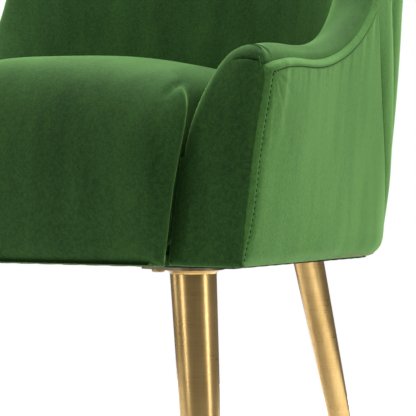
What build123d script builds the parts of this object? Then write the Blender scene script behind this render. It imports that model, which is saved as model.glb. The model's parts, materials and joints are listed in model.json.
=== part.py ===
from build123d import *
import os
from functools import lru_cache
from math import acos, atan2, cos, hypot, radians, sin, sqrt, tan

os.makedirs("parts", exist_ok=True)

# An upholstered dining chair: a barrel back whose wings swoop down into low arms, a tight
# crowned seat, a timber frame inside and four splayed, tapered metal legs.
# Millimetres. The origin is on the floor under the middle of the chair, +Z is up and the
# chair faces -Y. Right-hand pieces are modelled at +X and mirrored for the left.

# ---------------------------------------------------------------- overall sizes
overall_height = 860
overall_depth = 660
underside_height = 290          # floor to the bottom edge of the upholstery
seat_height = 493               # floor to the crown of the seat
arm_height = 466                # floor to the outer seam of the low arm
arm_front_width = 604           # over both arm fronts, at the underside

# ---------------------------------------------------------------- shell in plan
seat_projection = 29            # seat front ahead of the arm fronts
barrel_radius = 259.5           # outer face of the back, at the underside
side_flare = 4.9                # degrees the arm's outer face leans outwards
barrel_flare = 4.0              # degrees the barrel opens upwards
back_drift = 1.35               # degrees the barrel's centre moves back upwards
arm_front_lean = 5.0            # degrees the arm front leans back
arm_thickness = 71              # over the upholstery, at the arm front
back_thickness = 60             # over the upholstery, round the barrel

# ---------------------------------------------------------------- seam line in side view
# Low part: distance behind the arm front, height over the arm seam. High part: distance
# behind the arm front, share of the rise from the arm seam to the top seam.
low_seam = [(14, -12), (38, -3), (133, 10), (239, 43), (307, 98)]
high_seam = [(341, 0.44), (372, 0.71), (396, 0.87), (440, 0.975), (520, 1.0)]
roll_height = 15                # how far the padded roll stands over the seam
seam_shift = 0.58               # forward for each unit upwards, when the line is moved outwards

# ---------------------------------------------------------------- layers of the shell
cloth = 1.5                     # velvet with its backing
fit_gap = 0.3                   # between soft layers and what they lie on
roll_gap = 0.9                  # round the padded roll, over the seam line
outer_padding = 6
outer_board = 2.7
frame_start = 11                # outer face of the shell to the timber
frame_thickness = 20
inner_board = 2
frame_drop = 6                  # seam line down to the top of the timber
roll_setback = 2                # outer face of the shell to the outer edge of the roll
hem_width = 28                  # velvet turned under the rails
cut_margin = 40                 # how far cutting bodies run past the shell

# ---------------------------------------------------------------- timber frame
rail_bottom_gap = 2             # hem and dust cover below the rails
rail_height = 80
front_rail_thickness = 22
front_pad = 6                   # padding between the arm front's velvet and its post
post_depth = 54
post_inner_inset = arm_thickness - 9  # outer face of the shell to the post's inner face
post_shoulder_drop = 30         # seam line down to the inner part of the post's top
arm_rail_height = 40
top_rail_height = 50
side_rail_end = 391             # behind the arm front, where the rear rail begins
back_post_width = 45
back_post_start = 351           # behind the arm front, at the rail tops
back_post_lean = 6.8            # degrees
back_rail_width = 42
back_rail_height = 500          # floor to the middle of the lower back rail
block_height = 50
block_reach = 70                # corner block, leg axis to its far edges
block_cut = 75                  # leg axis to the block's diagonal face, along x plus y
block_proud = 1.8               # block bottom below the underside

# ---------------------------------------------------------------- seat
strap_width = 50
strap_thickness = 1.5
strap_hold = 14                 # how far a strap lies on the rail it's stapled to
lengthwise_straps = 4
lengthwise_pitch = 82
crosswise_straps = 3
crosswise_pitch = 95
crosswise_first = 75            # behind the arm front
felt_thickness = 5
base_foam_thickness = 48
seat_crown_drop = 31            # seat crown, middle to the arms
seat_rear_drop = 14             # seat crown down to the back
seat_front_slope = 8.6          # bottom of the seat front behind its fullest line
seat_front_radius = 58
seat_flat_start = 145           # seat front back to where the crown runs level

# ---------------------------------------------------------------- covers and underside
pleat_head_setback = 305        # behind the arm front, where the first pleat leaves the seam
pleat_head_rise = 100           # and its height over the arm seam
pleat_foot_setback = 440        # behind the arm front, at the underside
sheet_thickness = 0.8
sheet_inset = 16                # outer face of the shell to the dust cover's edge
sheet_trim = 2                  # dust cover cut clear of the corner blocks
staple_inset = 24
staple_setback = 6
staple_pitch = 28
staple_width = 11
staple_wire = 1.2

# ---------------------------------------------------------------- legs
leg_top_diameter = 41
leg_foot_diameter = 28
leg_wall = 1.6
front_leg_inset = 78.3          # arm's outer face to the leg axis, at the underside
front_leg_setback = 48.6        # arm front to the leg axis
rear_leg_x = 98
rear_leg_radius = 213.3       # barrel's axis to the rear leg's axis
front_splay = (0.085, 0.04)     # outwards and forwards, per unit of height
rear_splay = (0.08, 0.27)       # outwards and backwards, per unit of height
plate_thickness = 2.5
plate_gap = 0.2
hub_radius = 26                 # plate round the leg
lobe_radius = 15                # plate round each end bolt
bolt_long = 42                  # leg axis to an end bolt, along one edge of the plate
bolt_short = 6.5                # and across it
bolt_diameter = 6
bolt_head_diameter = 11.8
bolt_head_height = 3.2
bolt_clearance = 0.3
nut_flange = 1.3
nut_flange_diameter = 13.2
nut_barrel = 11
nut_barrel_diameter = 7.8
nut_gap = 0.2                   # round the barrel of a nut in its hole
weld_leg = 3.2
weld_toe = 0.2                  # thickness the weld runs out to
glide_height = 4.5
glide_diameter = 26
glide_stem = 12

# ---------------------------------------------------------------- worked-out values
arm_front_y = -overall_depth / 2 + seat_projection
shell_rise = overall_height - underside_height
back_rake = tan(radians(barrel_flare)) + tan(radians(back_drift))
barrel_centre_y = overall_depth / 2 - shell_rise * back_rake - barrel_radius
top_seam_height = overall_height - roll_height
rail_bottom = underside_height + rail_bottom_gap
rail_top = rail_bottom + rail_height
deck_top = rail_top + 2 * strap_thickness + felt_thickness + 2 * fit_gap
block_bottom = underside_height - block_proud
block_top = block_bottom + block_height
plate_top = block_bottom - plate_gap
plate_bottom = plate_top - plate_thickness
frame_end = frame_start + frame_thickness
board_end = frame_end + fit_gap + inner_board
reach = arm_front_width + overall_depth
side_rail_end_y = arm_front_y + side_rail_end
post_back_y = arm_front_y + cloth + front_pad + post_depth
front_leg = (arm_front_width / 2 - front_leg_inset, arm_front_y + front_leg_setback)
rear_leg = (rear_leg_x, barrel_centre_y + sqrt(rear_leg_radius**2 - rear_leg_x**2))


def save(piece, name):
    """Label a finished piece and write it."""
    piece.part.label = name
    export_step(piece.part, f"parts/{name}.step")


def save_pair(piece, name):
    """Write a right-hand piece and its mirror image for the left."""
    save(piece, f"{name}_right")
    with BuildPart() as other:
        mirror(piece.part, about=Plane.YZ)
    save(other, f"{name}_left")


# ================================================================ shell surfaces
def shell_plan(height, arm_inset, back_inset):
    """Centre and radius of the barrel's arc, and the angle where the side meets it."""
    rise = height - underside_height
    corner_x = arm_front_width / 2 + rise * tan(radians(side_flare)) - arm_inset
    centre_y = barrel_centre_y + rise * tan(radians(back_drift))
    radius = barrel_radius + rise * tan(radians(barrel_flare)) - back_inset
    corner_y = arm_front_y - centre_y
    turn = atan2(corner_y, corner_x) + acos(radius / hypot(corner_x, corner_y))
    return centre_y, radius, turn


def half_width(height, inset, y):
    """Distance from the middle plane to the shell's surface, at one inset and one y."""
    centre_y, radius, turn = shell_plan(height, inset, inset)
    if y < centre_y + radius * sin(turn):
        return (radius - (y - centre_y) * sin(turn)) / cos(turn)
    return sqrt(radius**2 - (y - centre_y) ** 2)


@lru_cache(maxsize=None)
def shell_block(arm_inset, back_inset):
    """Everything inside one surface of the shell, open-ended at the front and the top."""
    front_y = arm_front_y - cut_margin
    with BuildPart() as block:
        for height in (underside_height - cut_margin, overall_height + cut_margin):
            centre_y, radius, turn = shell_plan(height, arm_inset, back_inset)
            front_x = (radius - (front_y - centre_y) * sin(turn)) / cos(turn)
            side_x = radius * cos(turn)
            side_y = centre_y + radius * sin(turn)
            with BuildSketch(Plane.XY.offset(height)):
                with BuildLine():
                    Line((-front_x, front_y), (front_x, front_y))
                    Line((front_x, front_y), (side_x, side_y))
                    ThreePointArc((side_x, side_y), (0, centre_y + radius), (-side_x, side_y))
                    Line((-side_x, side_y), (-front_x, front_y))
                make_face()
        loft(ruled=True)
    return block.part


def below_seam(grow):
    """Side view of all that lies under the seam line, moved outwards by a distance."""
    start_y = arm_front_y - grow * seam_shift
    start_z = arm_height + grow
    low = [(start_y + y, start_z + z) for y, z in low_seam]
    rise = top_seam_height - arm_height
    high = [(start_y + y, start_z + share * rise) for y, share in high_seam]
    far_y = overall_depth / 2 + cut_margin
    front_y = arm_front_y - cut_margin
    floor = underside_height - cut_margin
    with BuildSketch(Plane.YZ) as region:
        with BuildLine():
            edge = Spline(*low, *high, tangents=[(2, 1), (1, 0)])
            front = (front_y, (edge @ 0).Y - cut_margin / 2)
            Polyline(edge @ 1, (far_y, (edge @ 1).Y), (far_y, floor), (front_y, floor), front, edge @ 0)
        make_face()
    return region.sketch


def behind_front(depth):
    """Plane a given depth behind the leaning arm front, facing backwards."""
    lean = radians(arm_front_lean)
    origin = (0, arm_front_y + depth / cos(lean), underside_height)
    return Plane(origin=origin, x_dir=(1, 0, 0), z_dir=(0, cos(lean), -sin(lean)))


def slab(low, high, front=None, back=None):
    """A level slab between two heights, cut off at a front and a back y."""
    front = -reach if front is None else front
    back = reach if back is None else back
    with BuildPart() as block:
        with BuildSketch(Plane.XY.offset(low)):
            with Locations((0, (front + back) / 2)):
                Rectangle(2 * reach, back - front)
        extrude(amount=high - low)
    return block.part


def right_half():
    """Everything at +X."""
    with BuildPart() as block:
        with BuildSketch(Plane.YZ):
            Rectangle(4 * reach, 4 * reach)
        extrude(amount=reach)
    return block.part


@lru_cache(maxsize=None)
def wall(outer, inner, grow, depth=0, arm_extra=0, back_extra=0):
    """The shell's wall between two insets, under the seam line and behind the arm front.

    arm_extra and back_extra move the inner surface on, where a layer isn't even.
    """
    with BuildPart() as layer:
        add(shell_block(outer, outer))
        add(shell_block(inner + arm_extra, inner + back_extra), mode=Mode.SUBTRACT)
        extrude(below_seam(grow), amount=reach, both=True, mode=Mode.INTERSECT)
        split(bisect_by=behind_front(depth), keep=Keep.TOP)
    return layer.part


def post_line_y(height, extra=0):
    """Front edge of the leaning back post at one height."""
    return arm_front_y + back_post_start + extra + (height - rail_top) * tan(radians(back_post_lean))


def behind_post_edge(extra):
    """Side view of all that lies behind a line parallel to the back post's front edge."""
    low = underside_height - cut_margin
    high = overall_height + cut_margin
    with BuildSketch(Plane.YZ) as region:
        Polygon(
            (post_line_y(low, extra), low),
            (reach, low),
            (reach, high),
            (post_line_y(high, extra), high),
            align=None,
        )
    return region.sketch


# ================================================================ timber frame
timber = wall(frame_start, frame_end, -frame_drop, cloth + front_pad)
over_rails = slab(rail_top, overall_height + cut_margin)

with BuildPart() as rear_seat_rail:
    add(timber)
    add(slab(rail_bottom, rail_top, front=side_rail_end_y), mode=Mode.INTERSECT)
save(rear_seat_rail, "rear_seat_rail")

with BuildPart() as side_seat_rail:
    add(timber)
    add(slab(rail_bottom, rail_top, post_back_y, side_rail_end_y), mode=Mode.INTERSECT)
    add(right_half(), mode=Mode.INTERSECT)
save_pair(side_seat_rail, "side_seat_rail")

with BuildPart() as arm_front_post:
    add(wall(frame_start, frame_end, -frame_drop, cloth + front_pad))
    add(wall(frame_start, post_inner_inset, -post_shoulder_drop, cloth + front_pad))
    add(slab(rail_bottom, overall_height, back=post_back_y), mode=Mode.INTERSECT)
    add(right_half(), mode=Mode.INTERSECT)
save_pair(arm_front_post, "arm_front_post")

front_rail_y = arm_front_y + cloth + front_pad + front_rail_thickness / 2
front_rail_slope = rail_height * tan(radians(arm_front_lean))
with BuildPart() as front_seat_rail:
    add(shell_block(post_inner_inset, post_inner_inset))
    add(slab(rail_bottom, rail_top), mode=Mode.INTERSECT)
    split(bisect_by=behind_front(cloth + front_pad), keep=Keep.TOP)
    split(bisect_by=behind_front(cloth + front_pad + front_rail_thickness), keep=Keep.BOTTOM)
save(front_seat_rail, "front_seat_rail")

with BuildPart() as back_post:
    add(timber)
    add(over_rails, mode=Mode.INTERSECT)
    extrude(behind_post_edge(0), amount=reach, both=True, mode=Mode.INTERSECT)
    extrude(behind_post_edge(back_post_width), amount=reach, both=True, mode=Mode.SUBTRACT)
    add(right_half(), mode=Mode.INTERSECT)
save_pair(back_post, "back_post")

with BuildPart() as arm_rail:
    add(timber)
    add(slab(rail_top, overall_height, front=post_back_y), mode=Mode.INTERSECT)
    extrude(below_seam(-frame_drop - arm_rail_height), amount=reach, both=True, mode=Mode.SUBTRACT)
    extrude(behind_post_edge(0), amount=reach, both=True, mode=Mode.SUBTRACT)
    add(right_half(), mode=Mode.INTERSECT)
save_pair(arm_rail, "arm_rail")

with BuildPart() as top_back_rail:
    add(timber)
    extrude(below_seam(-frame_drop - top_rail_height), amount=reach, both=True, mode=Mode.SUBTRACT)
    extrude(behind_post_edge(back_post_width), amount=reach, both=True, mode=Mode.INTERSECT)
save(top_back_rail, "top_back_rail")

with BuildPart() as lower_back_rail:
    add(timber)
    low = back_rail_height - back_rail_width / 2
    add(slab(low, low + back_rail_width), mode=Mode.INTERSECT)
    extrude(behind_post_edge(back_post_width), amount=reach, both=True, mode=Mode.INTERSECT)
save(lower_back_rail, "lower_back_rail")


# ================================================================ corner blocks and legs
def bolt_points(leg, fore):
    """The three bolt axes round a leg; fore is -1 for a front leg and +1 for a rear one."""
    middle = (bolt_long + bolt_short) / 2
    offsets = [(bolt_long, bolt_short), (middle, middle), (bolt_short, bolt_long)]
    return [(leg[0] - u, leg[1] - fore * v) for u, v in offsets]


def block_outline(leg, fore, far_x, far_y, grow=0):
    """Five-sided corner block with its square corner towards the chair's corner."""
    far_reach = block_reach + grow
    near = block_cut + grow * sqrt(2) - far_reach
    corners = [
        (-far_reach, -near),
        (-far_reach, far_y + grow),
        (far_x + grow, far_y + grow),
        (far_x + grow, -far_reach),
        (-near, -far_reach),
    ]
    return [(leg[0] + x, leg[1] + fore * y) for x, y in corners]


def corner_block(leg, fore, far_x, far_y):
    """A block with clearance holes for its three bolts."""
    with BuildPart() as block:
        add(shell_block(frame_end + fit_gap, frame_end + fit_gap))
        with BuildSketch(Plane.XY.offset(block_bottom)):
            Polygon(*block_outline(leg, fore, far_x, far_y), align=None)
        extrude(amount=block_height, mode=Mode.INTERSECT)
        with BuildSketch(Plane.XY.offset(block_bottom)):
            with Locations(*bolt_points(leg, fore)):
                Circle(nut_barrel_diameter / 2 + nut_gap)
        extrude(amount=block_height, mode=Mode.SUBTRACT)
    return block


front_rail_back_y = arm_front_y + cloth + front_pad + front_rail_thickness + front_rail_slope
post_inner_x = half_width(block_bottom, post_inner_inset, post_back_y)
front_far_x = post_inner_x - front_leg[0] - fit_gap
front_far_y = front_leg[1] - front_rail_back_y - fit_gap
front_block = corner_block(front_leg, -1, front_far_x, front_far_y)
save_pair(front_block, "front_corner_block")
rear_block = corner_block(rear_leg, 1, block_reach, block_reach)
save_pair(rear_block, "rear_corner_block")


def leg_axis(leg, fore, splay, height):
    """Point of a leg's axis at one height."""
    drop = plate_bottom - height
    return Vector(leg[0] + splay[0] * drop, leg[1] + fore * splay[1] * drop, height)


def leg_cone(leg, fore, splay, shrink, past):
    """Tapered round along the leg's axis, shrunk by a wall and run past both ends."""
    high = leg_axis(leg, fore, splay, plate_bottom + past)
    low = leg_axis(leg, fore, splay, glide_height - past)
    along = high - low
    taper = (leg_top_diameter - leg_foot_diameter) / 2 / (plate_bottom - glide_height)
    with BuildPart() as cone:
        with BuildSketch(Plane(origin=low, z_dir=along)):
            Circle(leg_foot_diameter / 2 - taper * past - shrink)
        with BuildSketch(Plane(origin=high, z_dir=along)):
            Circle(leg_top_diameter / 2 + taper * past - shrink)
        loft()
    return cone.part


def make_leg(leg, fore, splay, name):
    """Tube with its weld collar, the plate on top and the glide in its foot."""
    with BuildPart() as tube:
        add(leg_cone(leg, fore, splay, 0, cut_margin / 2))
        add(leg_cone(leg, fore, splay, leg_wall, cut_margin), mode=Mode.SUBTRACT)
        split(bisect_by=Plane.XY.offset(glide_height), keep=Keep.TOP)
        split(bisect_by=Plane.XY.offset(plate_bottom), keep=Keep.BOTTOM)
        collar_low = leg_axis(leg, fore, splay, plate_bottom - weld_leg)
        with BuildSketch(Plane.XY.offset(plate_bottom)):
            with Locations((leg[0], leg[1])):
                Circle(leg_top_diameter / 2 + weld_leg)
                Circle(leg_top_diameter / 2 - leg_wall / 2, mode=Mode.SUBTRACT)
        with BuildSketch(Plane.XY.offset(plate_bottom - weld_leg)):
            with Locations((collar_low.X, collar_low.Y)):
                Circle(leg_top_diameter / 2 + weld_toe)
                Circle(leg_top_diameter / 2 - leg_wall / 2, mode=Mode.SUBTRACT)
        loft(ruled=True)
    save_pair(tube, f"{name}_leg")

    end_bolts = [bolt_points(leg, fore)[0], bolt_points(leg, fore)[2]]
    with BuildPart() as plate:
        with BuildSketch(Plane.XY.offset(plate_bottom)):
            with BuildSketch(mode=Mode.PRIVATE) as lobes:
                with Locations(leg):
                    Circle(hub_radius)
                with Locations(*end_bolts):
                    Circle(lobe_radius)
            make_hull(lobes.edges())
            with Locations(*bolt_points(leg, fore)):
                Circle(bolt_diameter / 2 + bolt_clearance, mode=Mode.SUBTRACT)
        extrude(amount=plate_thickness)
    save_pair(plate, f"{name}_leg_plate")


make_leg(front_leg, -1, front_splay, "front")
make_leg(rear_leg, 1, rear_splay, "rear")

with BuildPart() as leg_bolts:
    for leg, fore in ((front_leg, -1), (rear_leg, 1)):
        with BuildSketch(Plane.XY.offset(plate_bottom)):
            with Locations(*bolt_points(leg, fore)):
                Circle(bolt_head_diameter / 2)
        extrude(amount=-bolt_head_height)
        with BuildSketch(Plane.XY.offset(plate_bottom)):
            with Locations(*bolt_points(leg, fore)):
                Circle(bolt_diameter / 2)
        extrude(amount=block_top + nut_flange - plate_bottom)
    fillet(leg_bolts.edges().group_by(Axis.Z)[0], radius=bolt_head_height / 2)
    mirror(about=Plane.YZ)
save(leg_bolts, "leg_bolts")

with BuildPart() as tee_nuts:
    for leg, fore in ((front_leg, -1), (rear_leg, 1)):
        with BuildSketch(Plane.XY.offset(block_top)):
            with Locations(*bolt_points(leg, fore)):
                Circle(nut_flange_diameter / 2)
        extrude(amount=nut_flange)
        with BuildSketch(Plane.XY.offset(block_top)):
            with Locations(*bolt_points(leg, fore)):
                Circle(nut_barrel_diameter / 2)
        extrude(amount=-nut_barrel)
        with BuildSketch(Plane.XY.offset(block_top + nut_flange)):
            with Locations(*bolt_points(leg, fore)):
                Circle(bolt_diameter / 2 + nut_gap / 2)
        extrude(amount=-nut_flange - nut_barrel, mode=Mode.SUBTRACT)
    mirror(about=Plane.YZ)
save(tee_nuts, "tee_nuts")

with BuildPart() as foot_glides:
    for leg, fore, splay in ((front_leg, -1, front_splay), (rear_leg, 1, rear_splay)):
        foot = leg_axis(leg, fore, splay, glide_height)
        up = leg_axis(leg, fore, splay, plate_bottom) - foot
        with BuildSketch(Plane(origin=foot, z_dir=up)):
            Circle(leg_foot_diameter / 2 - leg_wall - 2 * fit_gap)
        extrude(amount=glide_stem)
        with BuildSketch():
            with Locations((foot.X, foot.Y)):
                Circle(glide_diameter / 2)
        extrude(amount=glide_height)
    mirror(about=Plane.YZ)
save(foot_glides, "foot_glides")

# ================================================================ seat
start_y = front_rail_back_y - strap_hold
with BuildPart() as lengthwise_webbing:
    for number in range(lengthwise_straps):
        x = (number - (lengthwise_straps - 1) / 2) * lengthwise_pitch
        centre_y, radius, turn = shell_plan(rail_top, frame_end, frame_end)
        end_y = centre_y + sqrt((radius + strap_hold) ** 2 - (abs(x) + strap_width / 2) ** 2)
        with BuildSketch(Plane.XY.offset(rail_top)):
            with Locations((x, (start_y + end_y) / 2)):
                Rectangle(strap_width, end_y - start_y)
        extrude(amount=strap_thickness)
save(lengthwise_webbing, "lengthwise_webbing")

with BuildPart() as crosswise_webbing:
    for number in range(crosswise_straps):
        y = arm_front_y + crosswise_first + strap_width / 2 + number * crosswise_pitch
        half = half_width(rail_top, frame_end - strap_hold, y + strap_width / 2)
        with BuildSketch(Plane.XY.offset(rail_top + strap_thickness)):
            with Locations((0, y)):
                Rectangle(2 * half, strap_width)
        extrude(amount=strap_thickness)
save(crosswise_webbing, "crosswise_webbing")


def seat_profile(inset):
    """Side view of the seat, pulled in by an inset: rolled front, crown and fall to the back."""
    front = -overall_depth / 2 + inset
    foot = front + seat_front_slope
    top = seat_height - inset
    low = underside_height - cut_margin / 4
    back = overall_depth / 2
    shoulder = top - seat_front_radius
    with BuildSketch(Plane.YZ) as profile:
        with BuildLine():
            rolled = Spline(
                (foot, low),
                (front, (underside_height + shoulder) / 2),
                (front + seat_front_slope, shoulder),
                (front + seat_front_radius, top - seat_front_slope),
                (front + seat_flat_start, top),
                tangents=[(-1, 9), (1, 0)],
            )
            Polyline(
                rolled @ 1,
                (back, top - seat_rear_drop),
                (back, low),
                rolled @ 0,
            )
        make_face()
    return profile.sketch


def crown_profile(inset):
    """Front view of the seat: a shallow arch from arm to arm."""
    half = arm_front_width / 2 - arm_thickness
    far = arm_front_width / 2
    top = seat_height - inset
    low = underside_height - cut_margin
    edge = top - seat_crown_drop
    with BuildSketch(Plane.XZ) as profile:
        with BuildLine():
            ThreePointArc((-half, edge), (0, top), (half, edge))
            Polyline(
                (half, edge),
                (far, edge - seat_crown_drop),
                (far, low),
                (-far, low),
                (-far, edge - seat_crown_drop),
                (-half, edge),
            )
        make_face()
    return profile.sketch


@lru_cache(maxsize=None)
def seat_body(inset):
    """The seat's whole volume, pulled in by an inset on every side but the bottom."""
    with BuildPart() as body:
        add(shell_block(arm_thickness + fit_gap + inset, back_thickness + fit_gap + inset))
        extrude(seat_profile(inset), amount=reach, both=True, mode=Mode.INTERSECT)
        extrude(crown_profile(inset), amount=reach, both=True, mode=Mode.INTERSECT)
    return body.part


front_zone_y = arm_front_y - fit_gap
with BuildPart() as seat_felt:
    add(shell_block(arm_thickness + 2 * cloth, back_thickness + 2 * cloth))
    add(slab(deck_top - felt_thickness - fit_gap, deck_top - fit_gap), mode=Mode.INTERSECT)
    split(bisect_by=behind_front(cloth + front_pad + fit_gap), keep=Keep.TOP)
save(seat_felt, "seat_felt")

with BuildPart() as seat_base_foam:
    add(seat_body(cloth + fit_gap))
    add(slab(deck_top, deck_top + base_foam_thickness), mode=Mode.INTERSECT)
save(seat_base_foam, "seat_base_foam")

with BuildPart() as seat_crown_foam:
    add(seat_body(cloth + fit_gap))
    add(slab(deck_top + base_foam_thickness + fit_gap, seat_height), mode=Mode.INTERSECT)
save(seat_crown_foam, "seat_crown_foam")

with BuildPart() as seat_front_foam:
    add(seat_body(cloth + fit_gap))
    add(slab(rail_bottom, deck_top - fit_gap), mode=Mode.INTERSECT)
    split(bisect_by=behind_front(cloth + front_pad - fit_gap), keep=Keep.BOTTOM)
save(seat_front_foam, "seat_front_foam")

with BuildPart() as seat_cover:
    add(seat_body(0))
    add(slab(underside_height, seat_height), mode=Mode.INTERSECT)
    add(seat_body(cloth), mode=Mode.SUBTRACT)
    add(slab(underside_height, deck_top, front=front_zone_y), mode=Mode.SUBTRACT)
save(seat_cover, "seat_cover")


# ================================================================ arms and back
def arm_side(piece_front, piece_back):
    """Region at +X between two y values."""
    with BuildPart() as region:
        with BuildSketch(Plane.XY):
            with Locations((reach / 2, (piece_front + piece_back) / 2)):
                Rectangle(reach, piece_back - piece_front)
        extrude(amount=2 * overall_height)
    return region.part


back_split_y = side_rail_end_y
arm_region = arm_side(-reach, back_split_y)
back_region = slab(0, 2 * overall_height, front=back_split_y)

inner_boards = wall(frame_end + fit_gap, board_end, -frame_drop)
outer_face = frame_start - fit_gap
outer_boards = wall(outer_face - outer_board, outer_face, -cloth, cloth + front_pad)
outer_pads = wall(cloth + fit_gap, cloth + outer_padding, -cloth, cloth + front_pad)

inner_board_foot = rail_top + 2 * strap_thickness + fit_gap
with BuildPart() as arm_inner_board:
    add(inner_boards)
    add(slab(inner_board_foot, overall_height, front=post_back_y + fit_gap), mode=Mode.INTERSECT)
    add(arm_region, mode=Mode.INTERSECT)
save_pair(arm_inner_board, "arm_inner_board")

with BuildPart() as back_inner_board:
    add(inner_boards)
    add(slab(inner_board_foot, overall_height), mode=Mode.INTERSECT)
    add(back_region, mode=Mode.INTERSECT)
save(back_inner_board, "back_inner_board")

for source, name in ((outer_boards, "outer_board"), (outer_pads, "outer_padding")):
    with BuildPart() as arm_layer:
        add(source)
        add(slab(rail_bottom, overall_height), mode=Mode.INTERSECT)
        add(arm_region, mode=Mode.INTERSECT)
    save_pair(arm_layer, f"arm_{name}")
    with BuildPart() as back_layer:
        add(source)
        add(slab(rail_bottom, overall_height), mode=Mode.INTERSECT)
        add(back_region, mode=Mode.INTERSECT)
    save(back_layer, f"back_{name}")

# Everything the front facing of an arm takes up, from the seam down.
with BuildPart() as facing_zone:
    add(wall(-cut_margin / 2, arm_thickness + cut_margin / 2, fit_gap))
    split(bisect_by=behind_front(cloth + front_pad), keep=Keep.BOTTOM)

with BuildPart() as post_zone:
    add(wall(-cut_margin / 2, post_inner_inset + fit_gap, -frame_drop + fit_gap))
    add(slab(rail_bottom, overall_height, back=post_back_y + fit_gap), mode=Mode.INTERSECT)

# The inner foam lines the boards and rolls over the top of the timber; round the arm's
# front post it thins to what the post leaves.
foam_gap = cloth + roll_gap
arm_foam_inset = arm_thickness - foam_gap
back_step = back_thickness - arm_thickness
foam_bottom = deck_top + fit_gap
roll_outer = roll_setback + foam_gap
with BuildPart() as inner_foam:
    add(wall(roll_outer, arm_foam_inset, roll_height - foam_gap, foam_gap, 0, back_step))
    add(slab(foam_bottom, overall_height), mode=Mode.INTERSECT)
    add(wall(-cut_margin / 2, frame_start, roll_gap - cloth), mode=Mode.SUBTRACT)
    add(wall(-cut_margin / 2, board_end + fit_gap, roll_gap - frame_drop), mode=Mode.SUBTRACT)
    add(post_zone.part, mode=Mode.SUBTRACT)
    add(facing_zone.part, mode=Mode.SUBTRACT)

with BuildPart() as arm_foam:
    add(inner_foam.part)
    add(arm_region, mode=Mode.INTERSECT)
save_pair(arm_foam, "arm_foam")

with BuildPart() as back_foam:
    add(inner_foam.part)
    add(back_region, mode=Mode.INTERSECT)
save(back_foam, "back_foam")

with BuildPart() as inside_cover:
    add(wall(roll_setback, arm_thickness, roll_height, 0, 0, back_step))
    add(slab(foam_bottom, overall_height + cut_margin), mode=Mode.INTERSECT)
    add(
        wall(-cut_margin / 2, arm_thickness - cloth, roll_height - cloth, cloth, 0, back_step),
        mode=Mode.SUBTRACT,
    )
    add(facing_zone.part, mode=Mode.SUBTRACT)
save(inside_cover, "inside_cover")

with BuildPart() as arm_facing:
    add(wall(0, arm_thickness, 0, 0, 0, back_step))
    add(slab(underside_height, overall_height), mode=Mode.INTERSECT)
    split(bisect_by=behind_front(cloth), keep=Keep.BOTTOM)
    add(right_half(), mode=Mode.INTERSECT)
save_pair(arm_facing, "arm_front_facing")

with BuildPart() as facing_padding:
    add(wall(cloth + fit_gap, arm_thickness - cloth - fit_gap, -cloth, cloth + fit_gap, 0, back_step))
    add(slab(rail_bottom, overall_height), mode=Mode.INTERSECT)
    split(bisect_by=behind_front(cloth + front_pad - fit_gap), keep=Keep.BOTTOM)
    add(right_half(), mode=Mode.INTERSECT)
save_pair(facing_padding, "arm_front_padding")

# The outside velvet turns under the rails as a hem. It is parted at the first pleat, which
# runs from the steep part of the seam down and back.
pleat_foot = arm_front_y + pleat_foot_setback
pleat_head = arm_front_y + pleat_head_setback
pleat_bend = arm_height + pleat_head_rise
low_edge = underside_height - cut_margin
high_edge = overall_height + cut_margin
with BuildSketch(Plane.YZ) as pleated_area:
    Polygon(
        (pleat_head, high_edge),
        (pleat_head, pleat_bend),
        (pleat_foot, low_edge),
        (reach, low_edge),
        (reach, high_edge),
        align=None,
    )

with BuildPart() as outside_velvet:
    add(wall(0, hem_width, 0, cloth))
    add(slab(underside_height, underside_height + cloth), mode=Mode.INTERSECT)
    add(wall(0, cloth, 0, cloth))
    add(slab(underside_height, overall_height), mode=Mode.INTERSECT)

with BuildPart() as outside_panel:
    add(outside_velvet.part)
    extrude(pleated_area.sketch, amount=reach, both=True, mode=Mode.SUBTRACT)
    add(right_half(), mode=Mode.INTERSECT)
save_pair(outside_panel, "outside_panel")

with BuildPart() as outside_back:
    add(outside_velvet.part)
    extrude(pleated_area.sketch, amount=reach, both=True, mode=Mode.INTERSECT)
save(outside_back, "outside_back")

# ================================================================ underside
sheet_top = underside_height - fit_gap
sheet_front_y = front_rail_y
block_face = frame_end + fit_gap - sheet_trim
with BuildPart() as block_openings:
    for leg, fore, far_x, far_y in (
        (front_leg, -1, front_far_x, front_far_y),
        (rear_leg, 1, block_reach, block_reach),
    ):
        with BuildSketch(Plane.XY.offset(block_bottom)):
            Polygon(*block_outline(leg, fore, far_x, far_y, sheet_trim), align=None)
            mirror(about=Plane.YZ)
        extrude(amount=block_height)
    add(shell_block(block_face, block_face), mode=Mode.INTERSECT)

with BuildPart() as dust_cover:
    add(shell_block(sheet_inset, sheet_inset))
    add(slab(sheet_top - sheet_thickness, sheet_top, front=sheet_front_y), mode=Mode.INTERSECT)
    add(block_openings.part, mode=Mode.SUBTRACT)
save(dust_cover, "dust_cover")

# Staples all round the dust cover, one every staple_pitch along its edge.
staple_line_y = sheet_front_y + staple_setback
centre_y, radius, turn = shell_plan(underside_height, staple_inset, staple_inset)
side_point = (radius * cos(turn), centre_y + radius * sin(turn))
front_point = (half_width(underside_height, staple_inset, staple_line_y), staple_line_y)
with BuildLine(Plane.XY) as staple_line:
    Line((0, staple_line_y), front_point)
    Line(front_point, side_point)
    RadiusArc(side_point, (0, centre_y + radius), -radius)
staple_path = staple_line.wires()[0]
staple_count = int(staple_path.length / staple_pitch)
with BuildPart() as dust_cover_staples:
    for number in range(staple_count):
        share = (number + 0.5) / staple_count
        point = staple_path @ share
        along = staple_path % share
        place = Plane(
            origin=(point.X, point.Y, sheet_top - sheet_thickness),
            x_dir=along,
            z_dir=(0, 0, -1),
        )
        with BuildSketch(place):
            Rectangle(staple_width, staple_wire)
        extrude(amount=staple_wire / 2)
    mirror(about=Plane.YZ)
save(dust_cover_staples, "dust_cover_staples")
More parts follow.
